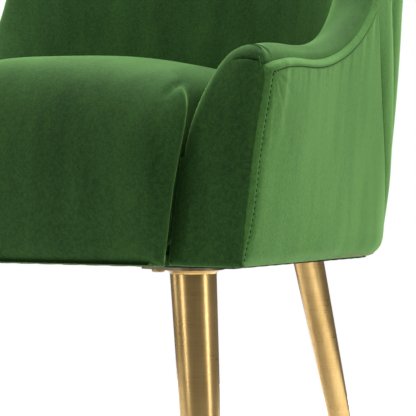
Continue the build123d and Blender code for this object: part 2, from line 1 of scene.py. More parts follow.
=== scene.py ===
"""Looks for an upholstered dining chair with a barrel back and tapered golden legs.

Everything is in metres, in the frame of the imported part: the floor is z = 0, the chair faces
-Y and +X is its right-hand side seen from the front. Each sub-assembly is a class that holds
its sizes, builds its meshes and dresses them.
"""

import json
import logging
import math
from dataclasses import dataclass, field
from enum import Enum
from typing import Callable, Optional, Sequence, Union

import bmesh
import bpy
import numpy as np
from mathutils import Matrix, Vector
from mathutils.geometry import delaunay_2d_cdt

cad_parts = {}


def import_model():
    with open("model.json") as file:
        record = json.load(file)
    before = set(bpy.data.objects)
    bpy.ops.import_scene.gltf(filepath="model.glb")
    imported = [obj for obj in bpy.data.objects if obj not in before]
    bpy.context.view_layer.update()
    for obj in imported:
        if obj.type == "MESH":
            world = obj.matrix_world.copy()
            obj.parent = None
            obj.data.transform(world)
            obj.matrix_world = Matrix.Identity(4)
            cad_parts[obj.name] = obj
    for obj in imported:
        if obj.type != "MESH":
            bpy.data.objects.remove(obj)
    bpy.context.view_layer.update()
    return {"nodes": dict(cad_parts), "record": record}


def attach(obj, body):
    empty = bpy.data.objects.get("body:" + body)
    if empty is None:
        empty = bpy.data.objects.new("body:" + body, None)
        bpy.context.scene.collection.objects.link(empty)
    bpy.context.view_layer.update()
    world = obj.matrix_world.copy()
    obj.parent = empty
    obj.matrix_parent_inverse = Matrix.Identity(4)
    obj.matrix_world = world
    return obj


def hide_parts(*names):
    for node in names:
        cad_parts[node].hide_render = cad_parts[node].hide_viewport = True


LOG = logging.getLogger("dining_chair")
Array = np.ndarray
Number = Union[float, Array]
Pair = tuple[float, float]
Triple = tuple[float, float, float]
Thing = bpy.types.Object
Socket = bpy.types.NodeSocket
Material = bpy.types.Material


class Side(Enum):
    """The two mirrored halves of the chair."""

    RIGHT = 1
    LEFT = -1

    @property
    def word(self) -> str:
        """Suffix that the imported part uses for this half."""
        return "right" if self is Side.RIGHT else "left"


# ------------------------------------------------------------------ small numeric helpers
def ease(low: float, high: float, value: Number) -> Number:
    """Smooth step from 0 at low to 1 at high.

    Args:
        low: Where the step starts.
        high: Where the step ends; it may be below low.
        value: One number or an array.

    Returns:
        The eased share, between 0 and 1.
    """
    share = np.clip((np.asarray(value, float) - low) / (high - low), 0.0, 1.0)
    return share * share * (3 - 2 * share)


def bell(value: Number, width: float) -> Number:
    """A rounded bump, 1 at zero and fading over a width."""
    return np.exp(-((np.asarray(value, float) / width) ** 2))


def mix(first: Number, second: Number, share: Number) -> Number:
    """Straight blend from first to second."""
    return first + (second - first) * share


def edged(count: int, crowd: float = 0.5, start: bool = True) -> Array:
    """Shares from 0 to 1 that crowd towards 1, and towards 0 as well.

    Args:
        count: Number of shares.
        crowd: 0 for even spacing, 1 for the strongest crowding.
        start: Whether they crowd at 0 too.

    Returns:
        The rising shares.
    """
    even = np.linspace(0.0, 1.0, count)
    dense = (1 - np.cos(math.pi * even)) / 2 if start else np.sin(math.pi / 2 * even)
    return mix(even, dense, crowd)


def travelled(line: Array) -> Array:
    """Distance run at each point of a line, 0 at its first."""
    return np.concatenate([[0], np.cumsum(np.linalg.norm(np.diff(line, axis=0), axis=1))])


def along_line(where: Array, marks: Array, line: Array) -> Array:
    """Rows at given marks, between the rows of a line that carries marks of its own."""
    return np.stack([np.interp(where, marks, column) for column in line.T], -1)


@dataclass(frozen=True)
class Ripple:
    """Smooth seeded unevenness, made of a handful of crossing waves."""

    seed: int
    wavelength: Triple
    waves: int = 9

    def at(self, points: Array) -> Array:
        """Unevenness at points.

        Args:
            points: Array whose last axis is x, y, z.

        Returns:
            Values that are mostly between -1 and 1.
        """
        chance = np.random.default_rng(self.seed)
        total = np.zeros(points.shape[:-1])
        for _ in range(self.waves):
            pull = chance.normal(size=3)
            pull /= np.linalg.norm(pull)
            pace = 2 * math.pi * pull / np.array(self.wavelength) * chance.uniform(0.6, 1.5)
            total += np.cos(points @ pace + chance.uniform(0, 2 * math.pi))
        return total / math.sqrt(self.waves)


@dataclass(frozen=True)
class Glide:
    """A smooth line through points, with a set direction at each end."""

    points: tuple[Pair, ...]
    first: Pair
    last: Pair

    def table(self, steps: int = 900) -> Array:
        """Points along the line.

        Args:
            steps: Number of points wanted.

        Returns:
            Array of shape (steps, 2).
        """
        knots = np.array(self.points, float)
        span = np.linalg.norm(np.diff(knots, axis=0), axis=1)
        mark = np.concatenate([[0.0], np.cumsum(span)])
        count = len(knots)
        matrix = np.zeros((count, count))
        right = np.zeros((count, 2))
        matrix[0, 0] = matrix[-1, -1] = 1.0
        right[0] = np.array(self.first) / np.linalg.norm(self.first)
        right[-1] = np.array(self.last) / np.linalg.norm(self.last)
        for i in range(1, count - 1):
            before, after = span[i - 1], span[i]
            matrix[i, i - 1] = after
            matrix[i, i] = 2 * (before + after)
            matrix[i, i + 1] = before
            rise = after * (knots[i] - knots[i - 1]) / before
            rise = rise + before * (knots[i + 1] - knots[i]) / after
            right[i] = 3 * rise
        slope = np.linalg.solve(matrix, right)
        where = np.linspace(0, mark[-1], steps)
        index = np.clip(np.searchsorted(mark, where, side="right") - 1, 0, count - 2)
        width = span[index]
        t = (where - mark[index]) / width
        start = (2 * t**3 - 3 * t**2 + 1)[:, None] * knots[index]
        start = start + ((t**3 - 2 * t**2 + t) * width)[:, None] * slope[index]
        end = (3 * t**2 - 2 * t**3)[:, None] * knots[index + 1]
        end = end + ((t**3 - t**2) * width)[:, None] * slope[index + 1]
        return start + end


# ------------------------------------------------------------------ meshes
def quads(rows: int, columns: int, start: int = 0, flip: bool = False) -> list[tuple[int, ...]]:
    """Faces of a grid of points stored row by row."""
    faces = []
    for i in range(rows - 1):
        for j in range(columns - 1):
            a = start + i * columns + j
            face = (a, a + 1, a + columns + 1, a + columns)
            faces.append(face[::-1] if flip else face)
    return faces


def hoops(rings: int, steps: int) -> list[tuple[int, ...]]:
    """Faces of an open tube whose rings of points are stored one after another."""
    faces = []
    for first in range(0, (rings - 1) * steps, steps):
        for j in range(steps):
            k = (j + 1) % steps
            faces.append((first + j, first + k, first + steps + k, first + steps + j))
    return faces


def linked(name: str, data: bpy.types.ID) -> Thing:
    """A new object in the scene that holds a mesh, lamp or camera."""
    thing = bpy.data.objects.new(name, data)
    bpy.context.scene.collection.objects.link(thing)
    return thing


def new_object(
    name: str, points: Array, faces: Sequence[Sequence[int]], smooth: bool = True
) -> Thing:
    """Mesh object at the origin from points and faces, with its faces turned outwards.

    Args:
        name: Name of the object.
        points: Array of shape (n, 3).
        faces: Index tuples.
        smooth: Whether faces are shaded smooth.

    Returns:
        The linked object.
    """
    mesh = bpy.data.meshes.new(name)
    mesh.from_pydata([tuple(map(float, p)) for p in points], [], [tuple(f) for f in faces])
    work = bmesh.new()
    work.from_mesh(mesh)
    bmesh.ops.remove_doubles(work, verts=work.verts, dist=1e-6)
    bmesh.ops.recalc_face_normals(work, faces=work.faces)
    work.to_mesh(mesh)
    work.free()
    mesh.polygons.foreach_set("use_smooth", [smooth] * len(mesh.polygons))
    mesh.update()
    return linked(name, mesh)


def closed_pad(name: str, outer: Array, inner: Array) -> Thing:
    """Closed body between two grids of the same shape.

    Args:
        name: Name of the object.
        outer: Seen surface, of shape (rows, columns, 3).
        inner: Hidden surface, of the same shape.

    Returns:
        The new object.
    """
    rows, columns = outer.shape[:2]
    far = rows * columns
    faces = quads(rows, columns) + quads(rows, columns, far, flip=True)
    for i in range(rows - 1):
        for column, turn in ((0, False), (columns - 1, True)):
            a = i * columns + column
            face = (a, a + columns, far + a + columns, far + a)
            faces.append(face[::-1] if turn else face)
    for j in range(columns - 1):
        for row, turn in ((0, True), (rows - 1, False)):
            a = row * columns + j
            face = (a, a + 1, far + a + 1, far + a)
            faces.append(face[::-1] if turn else face)
    points = np.concatenate([outer.reshape(-1, 3), inner.reshape(-1, 3)])
    return new_object(name, points, faces)


def mirrored(points: Array) -> Array:
    """Points reflected to the other half of the chair."""
    return points * np.array([-1.0, 1.0, 1.0])


# ------------------------------------------------------------------ shader maths
class Term:
    """A node socket that takes part in Python arithmetic by adding Math nodes."""

    def __init__(self, shop: "Shop", socket: Socket) -> None:
        """Keep the graph the socket belongs to."""
        self.shop = shop
        self.socket = socket

    def _math(self, operation: str, *values: "Operand") -> "Term":
        """Math node on this graph."""
        return self.shop.node("ShaderNodeMath", {"operation": operation}, *values)

    def __add__(self, other: "Operand") -> "Term":
        """Sum."""
        return self._math("ADD", self, other)

    __radd__ = __add__

    def __mul__(self, other: "Operand") -> "Term":
        """Product."""
        return self._math("MULTIPLY", self, other)

    __rmul__ = __mul__

    def __sub__(self, other: "Operand") -> "Term":
        """Difference."""
        return self._math("SUBTRACT", self, other)

    def __rsub__(self, other: "Operand") -> "Term":
        """Difference from a plain number."""
        return self._math("SUBTRACT", other, self)

    def __truediv__(self, other: "Operand") -> "Term":
        """Quotient."""
        return self._math("DIVIDE", self, other)

    def __rtruediv__(self, other: "Operand") -> "Term":
        """Quotient of a plain number."""
        return self._math("DIVIDE", other, self)

    def __pow__(self, other: "Operand") -> "Term":
        """Power."""
        return self._math("POWER", self, other)

    def wave(self) -> "Term":
        """Sine."""
        return self._math("SINE", self)

    def size(self) -> "Term":
        """Absolute value."""
        return self._math("ABSOLUTE", self)

    def held(self, low: float = 0.0, high: float = 1.0) -> "Term":
        """Value kept between two limits."""
        return self._math("MAXIMUM", self._math("MINIMUM", self, high), low)

    def step(self, low: float, high: float) -> "Term":
        """Smooth step between two values."""
        settings = {"interpolation_type": "SMOOTHSTEP"}
        return self.shop.node("ShaderNodeMapRange", settings, self, low, high, 0.0, 1.0)


Operand = Union[Term, float, tuple]


class Shop:
    """Builds one material's node graph round its Principled shader."""

    def __init__(self, name: str) -> None:
        """Start an empty material."""
        self.material = bpy.data.materials.new(name)
        self.material.use_nodes = True
        self.tree = self.material.node_tree
        self.tree.nodes.clear()
        self.shader = self.tree.nodes.new("ShaderNodeBsdfPrincipled")
        output = self.tree.nodes.new("ShaderNodeOutputMaterial")
        self.tree.links.new(self.shader.outputs[0], output.inputs["Surface"])

    def node(
        self,
        kind: str,
        settings: Optional[dict] = None,
        *values: Operand,
        out: Union[int, str] = 0,
        **named: Operand,
    ) -> Term:
        """Any node, with its settings and the values or links of its sockets.

        Args:
            kind: Node type.
            settings: Properties set before the sockets; "stops" fills a colour ramp.
            *values: Values for the first sockets, in order.
            out: Output socket to return.
            **named: Values by socket name, with _ for a space.

        Returns:
            The chosen output.
        """
        made = self.tree.nodes.new(kind)
        for key, value in (settings or {}).items():
            if key == "stops":
                ramp = made.color_ramp
                while len(ramp.elements) < len(value):
                    ramp.elements.new(0.5)
                for element, (place, shade) in zip(ramp.elements, value):
                    element.position = place
                    element.color = (*shade, 1.0)
            else:
                setattr(made, key, value)
        for index, value in enumerate(values):
            self._feed(made.inputs[index], value)
        for key, value in named.items():
            self._feed(made.inputs[key.replace("_", " ")], value)
        return Term(self, made.outputs[out])

    def _feed(self, socket: Socket, value: Operand) -> None:
        """Link or set one socket."""
        if isinstance(value, Term):
            self.tree.links.new(value.socket, socket)
        elif isinstance(value, tuple) and len(value) == 3 and socket.type == "RGBA":
            socket.default_value = (*value, 1.0)
        else:
            socket.default_value = value

    def place(self, scale: Triple = (1.0, 1.0, 1.0)) -> Term:
        """Object coordinates in metres, stretched by a scale."""
        where = self.node("ShaderNodeTexCoord", out="Object")
        return self.node("ShaderNodeMapping", {}, where, Scale=scale)

    def field(self, name: str) -> Term:
        """A number stored on the mesh."""
        return self.node("ShaderNodeAttribute", {"attribute_name": name}, out="Fac")

    def noise(self, where: Term, scale: float, detail: float = 3.0, rough: float = 0.5) -> Term:
        """Soft noise from 0 to 1."""
        sizes = {"Scale": scale, "Detail": detail, "Roughness": rough}
        return self.node("ShaderNodeTexNoise", {}, Vector=where, **sizes)

    def blend(self, share: Operand, first: Operand, second: Operand) -> Term:
        """Colour between two colours."""
        made = self.tree.nodes.new("ShaderNodeMix")
        made.data_type = "RGBA"
        self._feed(made.inputs[0], share)
        self._feed(made.inputs[6], first)
        self._feed(made.inputs[7], second)
        return Term(self, made.outputs[2])

    def bump(self, height: Operand, depth: float, strength: float = 1.0) -> Term:
        """Normal from a height in the range 0 to 1 and its depth in metres."""
        sizes = {"Strength": strength, "Distance": depth, "Height": height}
        return self.node("ShaderNodeBump", {}, out="Normal", **sizes)

    def finish(self, constants: dict[str, object], **changing: Operand) -> Material:
        """Set the shader's sockets.

        Args:
            constants: Values that are the same all over, by socket name.
            **changing: Values or links, by socket name with _ for a space.

        Returns:
            The material.
        """
        for key, value in constants.items():
            self._feed(self.shader.inputs[key], value)
        for key, value in changing.items():
            self._feed(self.shader.inputs[key.replace("_", " ")], value)
        return self.material


# ------------------------------------------------------------------ finishes
@dataclass(frozen=True)
class Velvet:
    """Cut-pile velvet: dark seen straight on, pale where it is seen along the pile."""

    name: str
    deep: Triple
    pale: Triple
    sheen: float
    sheen_tint: Triple
    streak: float = 0.5
    pile: float = 0.0007

    def material(self) -> Material:
        """Node material for this velvet."""
        shop = Shop(self.name)
        nap = shop.noise(shop.place((1.0, 1.0, 0.22)), 42.0, 3.0, 0.5)
        cloud = shop.noise(shop.place((1.0, 1.0, 0.5)), 10.0, 3.0, 0.5)
        grain = shop.noise(shop.place(), 900.0, 2.0, 0.6)
        mottle = shop.noise(shop.place(), 300.0, 3.0, 0.65)
        laid = (nap * self.streak + cloud * (1.0 - self.streak)).step(0.3, 0.7)
        speck = (grain * 0.5 + mottle * 0.5).step(0.37, 0.63)
        share = (laid * 0.42 + speck * 0.58).held()
        colour = shop.blend(share, self.deep, self.pale)
        height = grain * 0.55 + mottle * 0.45
        rough = 0.78 + speck * 0.16
        constants = {
            "Specular IOR Level": 0.16,
            "Sheen Weight": self.sheen,
            "Sheen Roughness": 0.34,
            "Sheen Tint": self.sheen_tint,
        }
        normal = shop.bump(height, self.pile, 0.55)
        return shop.finish(constants, Base_Color=colour, Roughness=rough, Normal=normal)


@dataclass(frozen=True)
class GiltSteel:
    """Brushed, lacquered golden plating, brushed round the leg."""

    name: str = "gilt_steel"

    def material(self) -> Material:
        """Node material for the plating."""
        shop = Shop(self.name)
        brushed = shop.noise(shop.place((18.0, 18.0, 900.0)), 1.0, 4.0, 0.65)
        length = shop.noise(shop.place((260.0, 260.0, 3.0)), 1.0, 3.0, 0.5)
        worn = shop.noise(shop.place(), 26.0, 4.0, 0.6)
        share = (worn * 0.5 + brushed * 0.25 + length * 0.25).step(0.3, 0.72)
        colour = shop.blend(share, (0.50, 0.315, 0.105), (0.66, 0.45, 0.185))
        rough = 0.215 + brushed * 0.08 + worn * 0.06
        normal = shop.bump(brushed * 0.7 + length * 0.3, 0.00005, 0.5)
        constants = {
            "Metallic": 1.0,
            "Anisotropic": 0.3,
            "Coat Roughness": 0.14,
            "Coat Weight": 0.25,
        }
        return shop.finish(constants, Base_Color=colour, Roughness=rough, Normal=normal)


@dataclass(frozen=True)
class Steel:
    """Plated sheet or fastener steel."""

    name: str
    dull: Triple
    bright: Triple
    rough: float = 0.34

    def material(self) -> Material:
        """Node material for the steel."""
        shop = Shop(self.name)
        cloud = shop.noise(shop.place(), 90.0, 5.0, 0.6)
        rolled = shop.noise(shop.place((40.0, 700.0, 700.0)), 1.0, 3.0, 0.55)
        colour = shop.blend((cloud * 0.6 + rolled * 0.4).step(0.3, 0.7), self.dull, self.bright)
        normal = shop.bump(cloud * 0.5 + rolled * 0.5, 0.00005, 0.5)
        rough = self.rough + rolled * 0.14
        return shop.finish({"Metallic": 1.0}, Base_Color=colour, Roughness=rough, Normal=normal)


@dataclass(frozen=True)
class Wood:
    """Bare hardwood, plywood or hardboard with its grain along one axis."""

    name: str
    dark: Triple
    light: Triple
    along: Triple = (6.0, 60.0, 60.0)
    pore: float = 0.5

    def material(self) -> Material:
        """Node material for the wood."""
        shop = Shop(self.name)
        where = shop.place(self.along)
        drift = shop.noise(where, 1.0, 3.0, 0.5)
        rings = ((drift * 34.0 + shop.noise(where, 0.35, 2.0) * 12.0).wave() * 0.5 + 0.5).held()
        fibre = shop.noise(shop.place(tuple(6.0 * a for a in self.along)), 1.4, 4.0, 0.7)
        share = (rings * 0.55 + fibre * 0.45).held()
        colour = shop.blend(share, self.dark, self.light)
        normal = shop.bump(fibre * self.pore + rings * 0.2, 0.0003, 0.5)
        rough = 0.62 + fibre * 0.2
        gloss = {"Specular IOR Level": 0.3}
        return shop.finish(gloss, Base_Color=colour, Roughness=rough, Normal=normal)


@dataclass(frozen=True)
class Sponge:
    """Open-cell foam, wadding or felt."""

    name: str
    shade: Triple
    light: Triple
    cell: float = 900.0
    depth: float = 0.0008

    def material(self) -> Material:
        """Node material for the stuffing."""
        shop = Shop(self.name)
        cells = shop.node("ShaderNodeTexVoronoi", {}, Vector=shop.place(), Scale=self.cell)
        fluff = shop.noise(shop.place(), self.cell * 0.35, 4.0, 0.7)
        share = (cells * 0.6 + fluff * 0.6).step(0.25, 0.8)
        colour = shop.blend(share, self.shade, self.light)
        constants = {"Sheen Weight": 0.25, "Specular IOR Level": 0.12}
        normal = shop.bump(cells * 0.6 + fluff * 0.4, self.depth, 0.6)
        return shop.finish(constants, Base_Color=colour, Roughness=0.95, Normal=normal)


@dataclass(frozen=True)
class Woven:
    """Plain-woven or bonded cloth with threads across and along."""

    name: str
    shade: Triple
    light: Triple
    thread: float = 0.0012
    depth: float = 0.0003

    def material(self) -> Material:
        """Node material for the cloth."""
        shop = Shop(self.name)
        pace = 2 * math.pi / self.thread
        parts = shop.node("ShaderNodeSeparateXYZ", {}, shop.place())
        along = (parts * pace).wave()
        across = (Term(shop, parts.socket.node.outputs[1]) * pace).wave()
        weave = (along * across * 0.5 + 0.5).held()
        fluff = shop.noise(shop.place(), 700.0, 3.0, 0.6)
        cloud = shop.noise(shop.place(), 14.0, 3.0, 0.5)
        share = (weave * 0.45 + fluff * 0.3 + cloud * 0.25).held()
        colour = shop.blend(share, self.shade, self.light)
        normal = shop.bump(weave * 0.7 + fluff * 0.3, self.depth, 0.7)
        rough = 0.85 + fluff * 0.1
        gloss = {"Specular IOR Level": 0.2}
        return shop.finish(gloss, Base_Color=colour, Roughness=rough, Normal=normal)


@dataclass(frozen=True)
class Moulded:
    """Moulded nylon with faint scuffs."""

    name: str
    shade: Triple
    light: Triple

    def material(self) -> Material:
        """Node material for the nylon."""
        shop = Shop(self.name)
        scuff = shop.noise(shop.place((1.0, 1.0, 4.0)), 160.0, 5.0, 0.7)
        fine = shop.noise(shop.place(), 1900.0, 2.0)
        colour = shop.blend(scuff.step(0.45, 0.75), self.shade, self.light)
        normal = shop.bump(fine, 0.0001, 0.5)
        rough = 0.42 + scuff * 0.2
        gloss = {"Specular IOR Level": 0.4}
        return shop.finish(gloss, Base_Color=colour, Roughness=rough, Normal=normal)


@dataclass(frozen=True)
class Thread:
    """Twisted sewing thread."""

    name: str = "thread"
    shade: Triple = (0.004, 0.015, 0.005)
    light: Triple = (0.012, 0.038, 0.014)

    def material(self) -> Material:
        """Node material for the thread."""
        shop = Shop(self.name)
        twist = shop.noise(shop.place((900.0, 900.0, 2400.0)), 1.0, 2.0)
        colour = shop.blend(twist.step(0.3, 0.7), self.shade, self.light)
        normal = shop.bump(twist, 0.0001, 0.5)
        rough = 0.8 + twist * 0.2
        gloss = {"Specular IOR Level": 0.08}
        return shop.finish(gloss, Base_Color=colour, Roughness=rough, Normal=normal)


@dataclass
class Finishes:
    """Every material of the chair, by the record's slot name."""

    made: dict[str, Material] = field(default_factory=dict)

    def build(self) -> "Finishes":
        """Make each material once.

        Returns:
            This object.
        """
        kinds = (
            Velvet(
                "velvet", (0.0085, 0.033, 0.0056), (0.037, 0.114, 0.022),
                sheen=0.62, sheen_tint=(0.40, 0.84, 0.24),
            ),
            # velvet_outside is the same cloth as velvet. Its lighter deep and pale colours are
            # painted light: a lit copy that stands in for the brighter light and pile sheen on the
            # side panels. Only its streaky tone is the cloth's own.
            Velvet(
                "velvet_outside", (0.032, 0.104, 0.019), (0.082, 0.208, 0.046),
                sheen=0.5, sheen_tint=(0.48, 0.88, 0.32), streak=0.6,
            ),
            GiltSteel(),
            Steel("plated_plate", (0.20, 0.165, 0.10), (0.42, 0.36, 0.24), 0.38),
            Steel("zinc_steel", (0.26, 0.19, 0.09), (0.50, 0.39, 0.21), 0.34),
            Steel("staple_wire", (0.45, 0.45, 0.45), (0.75, 0.75, 0.74), 0.28),
            Wood("timber", (0.33, 0.20, 0.105), (0.58, 0.41, 0.25)),
            Wood("block_timber", (0.27, 0.155, 0.08), (0.50, 0.34, 0.20), (60.0, 8.0, 60.0)),
            Wood("plywood", (0.42, 0.29, 0.16), (0.64, 0.48, 0.30), (60.0, 60.0, 7.0)),
            Wood("fibreboard", (0.20, 0.125, 0.07), (0.33, 0.22, 0.13), (120.0, 120.0, 120.0), 0.9),
            Sponge("foam", (0.62, 0.54, 0.33), (0.87, 0.81, 0.6)),
            Sponge("wadding", (0.68, 0.68, 0.66), (0.9, 0.9, 0.88), 260.0, 0.0015),
            Sponge("felt", (0.12, 0.115, 0.11), (0.42, 0.41, 0.4), 520.0, 0.001),
            Woven("webbing", (0.30, 0.22, 0.12), (0.66, 0.54, 0.36), 0.0032, 0.0006),
            Woven("cambric", (0.008, 0.008, 0.009), (0.034, 0.034, 0.036), 0.0014, 0.0002),
            Moulded("glide", (0.012, 0.012, 0.013), (0.05, 0.05, 0.052)),
            Thread(),
        )
        for kind in kinds:
            self.made[kind.name] = kind.material()
        return self

    def dress(self, thing: Thing, slot: str) -> None:
        """Give an object one finish in place of whatever it has."""
        thing.data.materials.clear()
        thing.data.materials.append(self.made[slot])


@dataclass
class Workshop:
    finishes: Finishes
    nodes: dict[str, Thing]
    slots: dict[str, str]

    def deliver(
        self,
        thing: Thing,
        slot: str,
        nodes: Sequence[str] = (),
        fill: Optional[float] = None,
        material: Optional[str] = None,
    ) -> Thing:
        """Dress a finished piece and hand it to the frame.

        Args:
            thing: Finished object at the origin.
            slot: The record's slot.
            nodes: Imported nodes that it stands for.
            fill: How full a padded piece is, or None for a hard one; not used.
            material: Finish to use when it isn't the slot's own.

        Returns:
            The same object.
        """
        self.finishes.dress(thing, material or slot)
        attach(thing, "root")
        if nodes:
            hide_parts(*nodes)
        LOG.info("%s: %d faces for %s", thing.name, len(thing.data.polygons), list(nodes))
        return thing


# ------------------------------------------------------------------ geometry nodes
class GeoShop:
    """Builds one Geometry Nodes tree, runs it and returns a plain mesh."""

    def __init__(self, name: str) -> None:
        """Start a tree with a geometry input and output."""
        self.tree = bpy.data.node_groups.new(name, "GeometryNodeTree")
        for way in ("INPUT", "OUTPUT"):
            self.tree.interface.new_socket("Geometry", in_out=way, socket_type="NodeSocketGeometry")
        self.entry = self.tree.nodes.new("NodeGroupInput")
        self.exit = self.tree.nodes.new("NodeGroupOutput")
        self.values: dict[str, object] = {}

    def size(self, name: str, value: object, kind: str = "NodeSocketFloat") -> Socket:
        """Add a named input.

        Args:
            name: Name of the input.
            value: What the modifier sets it to.
            kind: Socket type.

        Returns:
            The socket to link from.
        """
        self.tree.interface.new_socket(name, in_out="INPUT", socket_type=kind)
        self.values[name] = value
        return self.entry.outputs[name]

    def node(self, kind: str, settings: Optional[dict] = None, **sockets: object) -> bpy.types.Node:
        """Any node with its settings and its sockets, by name with _ for a space or as i0, i1."""
        made = self.tree.nodes.new(kind)
        for key, value in (settings or {}).items():
            setattr(made, key, value)
        for key, value in sockets.items():
            numbered = key[0] == "i" and key[1:].isdigit()
            socket = made.inputs[int(key[1:]) if numbered else key.replace("_", " ")]
            if isinstance(value, Socket):
                self.tree.links.new(value, socket)
            else:
                socket.default_value = value
        return made

    def maths(self, operation: str, *values: object) -> Socket:
        """Result of a Math node."""
        sockets = {f"i{index}": value for index, value in enumerate(values)}
        return self.node("ShaderNodeMath", {"operation": operation}, **sockets).outputs[0]

    def stored(self, name: str, kind: str) -> Socket:
        """A value stored on the points."""
        settings = {"data_type": kind}
        return self.node("GeometryNodeInputNamedAttribute", settings, Name=name).outputs[0]

    def pushed(self, geometry: Socket, outward: Socket, reach: Socket) -> Socket:
        """The geometry with its points moved outwards by a reach."""
        shift = self.node("ShaderNodeVectorMath", {"operation": "SCALE"}, i0=outward, Scale=reach)
        moved = self.node("GeometryNodeSetPosition", Geometry=geometry, Offset=shift.outputs[0])
        return moved.outputs[0]

    def run(self, base: Thing, geometry: Socket, material: Material) -> Thing:
        """Realise and colour the geometry, then turn the result into a plain mesh.

        Args:
            base: Object the tree works on; it is removed.
            geometry: What the tree has made.
            material: Finish for all of it.

        Returns:
            A plain mesh object of the same name.
        """
        real = self.node("GeometryNodeRealizeInstances", Geometry=geometry)
        dressed = self.node("GeometryNodeSetMaterial", Geometry=real.outputs[0], Material=material)
        self.tree.links.new(dressed.outputs[0], self.exit.inputs[0])
        modifier = base.modifiers.new(self.tree.name, "NODES")
        modifier.node_group = self.tree
        for item in self.tree.interface.items_tree:
            if item.in_out == "INPUT" and item.name in self.values:
                modifier[item.identifier] = self.values[item.name]
        bpy.context.view_layer.update()
        seen = base.evaluated_get(bpy.context.evaluated_depsgraph_get())
        mesh = bpy.data.meshes.new_from_object(seen)
        name = base.name
        bpy.data.objects.remove(base)
        mesh.name = name
        return linked(name, mesh)


def path_object(name: str, lines: Sequence[Array], up: Sequence[Array]) -> Thing:
    """Edges along some lines, with the surface's outward direction stored at each point.

    Args:
        name: Name of the object.
        lines: Arrays of points.
        up: Outward directions, one array for each line.

    Returns:
        A mesh object that holds only edges.
    """
    points: list[Array] = []
    edges: list[tuple[int, int]] = []
    for line in lines:
        first = len(points)
        points.extend(line)
        edges.extend((first + i, first + i + 1) for i in range(len(line) - 1))
    mesh = bpy.data.meshes.new(name)
    mesh.from_pydata([tuple(map(float, p)) for p in points], edges, [])
    outward = mesh.attributes.new("outward", "FLOAT_VECTOR", "POINT")
    outward.data.foreach_set("vector", np.concatenate(up).astype(np.float32).ravel())
    return linked(name, mesh)


@dataclass(frozen=True)
class Row:
    """Copies of a small body, set out evenly along lines and turned to follow them."""

    name: str
    pitch: float
    lift: float = 0.0
    jitter: float = 0.0
    seed: int = 4

    def lay(
        self,
        body: Thing,
        lines: Sequence[Array],
        up: Sequence[Array],
        material: Material,
    ) -> Thing:
        """Set the body out.

        Args:
            body: Small object whose length runs along +X and whose top faces +Z; it is removed.
            lines: Lines to follow.
            up: Outward direction at each point of each line.
            material: Finish for the copies.

        Returns:
            One plain mesh of all the copies.
        """
        shop = GeoShop(self.name)
        pitch = shop.size("Pitch", self.pitch)
        lift = shop.size("Lift", self.lift)
        jitter = shop.size("Jitter", self.jitter)
        seed = shop.size("Seed", self.seed, "NodeSocketInt")
        curve = shop.node("GeometryNodeMeshToCurve", Mesh=shop.entry.outputs[0])
        spaced = {"mode": "LENGTH"}
        dots = shop.node("GeometryNodeCurveToPoints", spaced, Curve=curve.outputs[0], Length=pitch)
        outward = shop.stored("outward", "FLOAT_VECTOR")
        align = "FunctionNodeAlignRotationToVector"
        along = shop.node(align, {"axis": "X"}, Vector=dots.outputs["Tangent"])
        upright = {"axis": "Z", "pivot_axis": "X"}
        turned = shop.node(align, upright, Rotation=along.outputs[0], Vector=outward)
        loose = {"data_type": "FLOAT"}
        spread = shop.node("FunctionNodeRandomValue", loose, i2=-1.0, i3=1.0, Seed=seed)
        sway = shop.maths("MULTIPLY", spread.outputs[1], jitter)
        rise = shop.maths("ADD", sway, lift)
        moved = shop.pushed(dots.outputs[0], outward, rise)
        source = shop.node("GeometryNodeObjectInfo", Object=body)
        placed = shop.node(
            "GeometryNodeInstanceOnPoints",
            Points=moved,
            Instance=source.outputs["Geometry"],
            Rotation=turned.outputs[0],
        )
        result = shop.run(path_object(self.name, lines, up), placed.outputs[0], material)
        bpy.data.objects.remove(body)
        result.data.polygons.foreach_set("use_smooth", [True] * len(result.data.polygons))
        return result


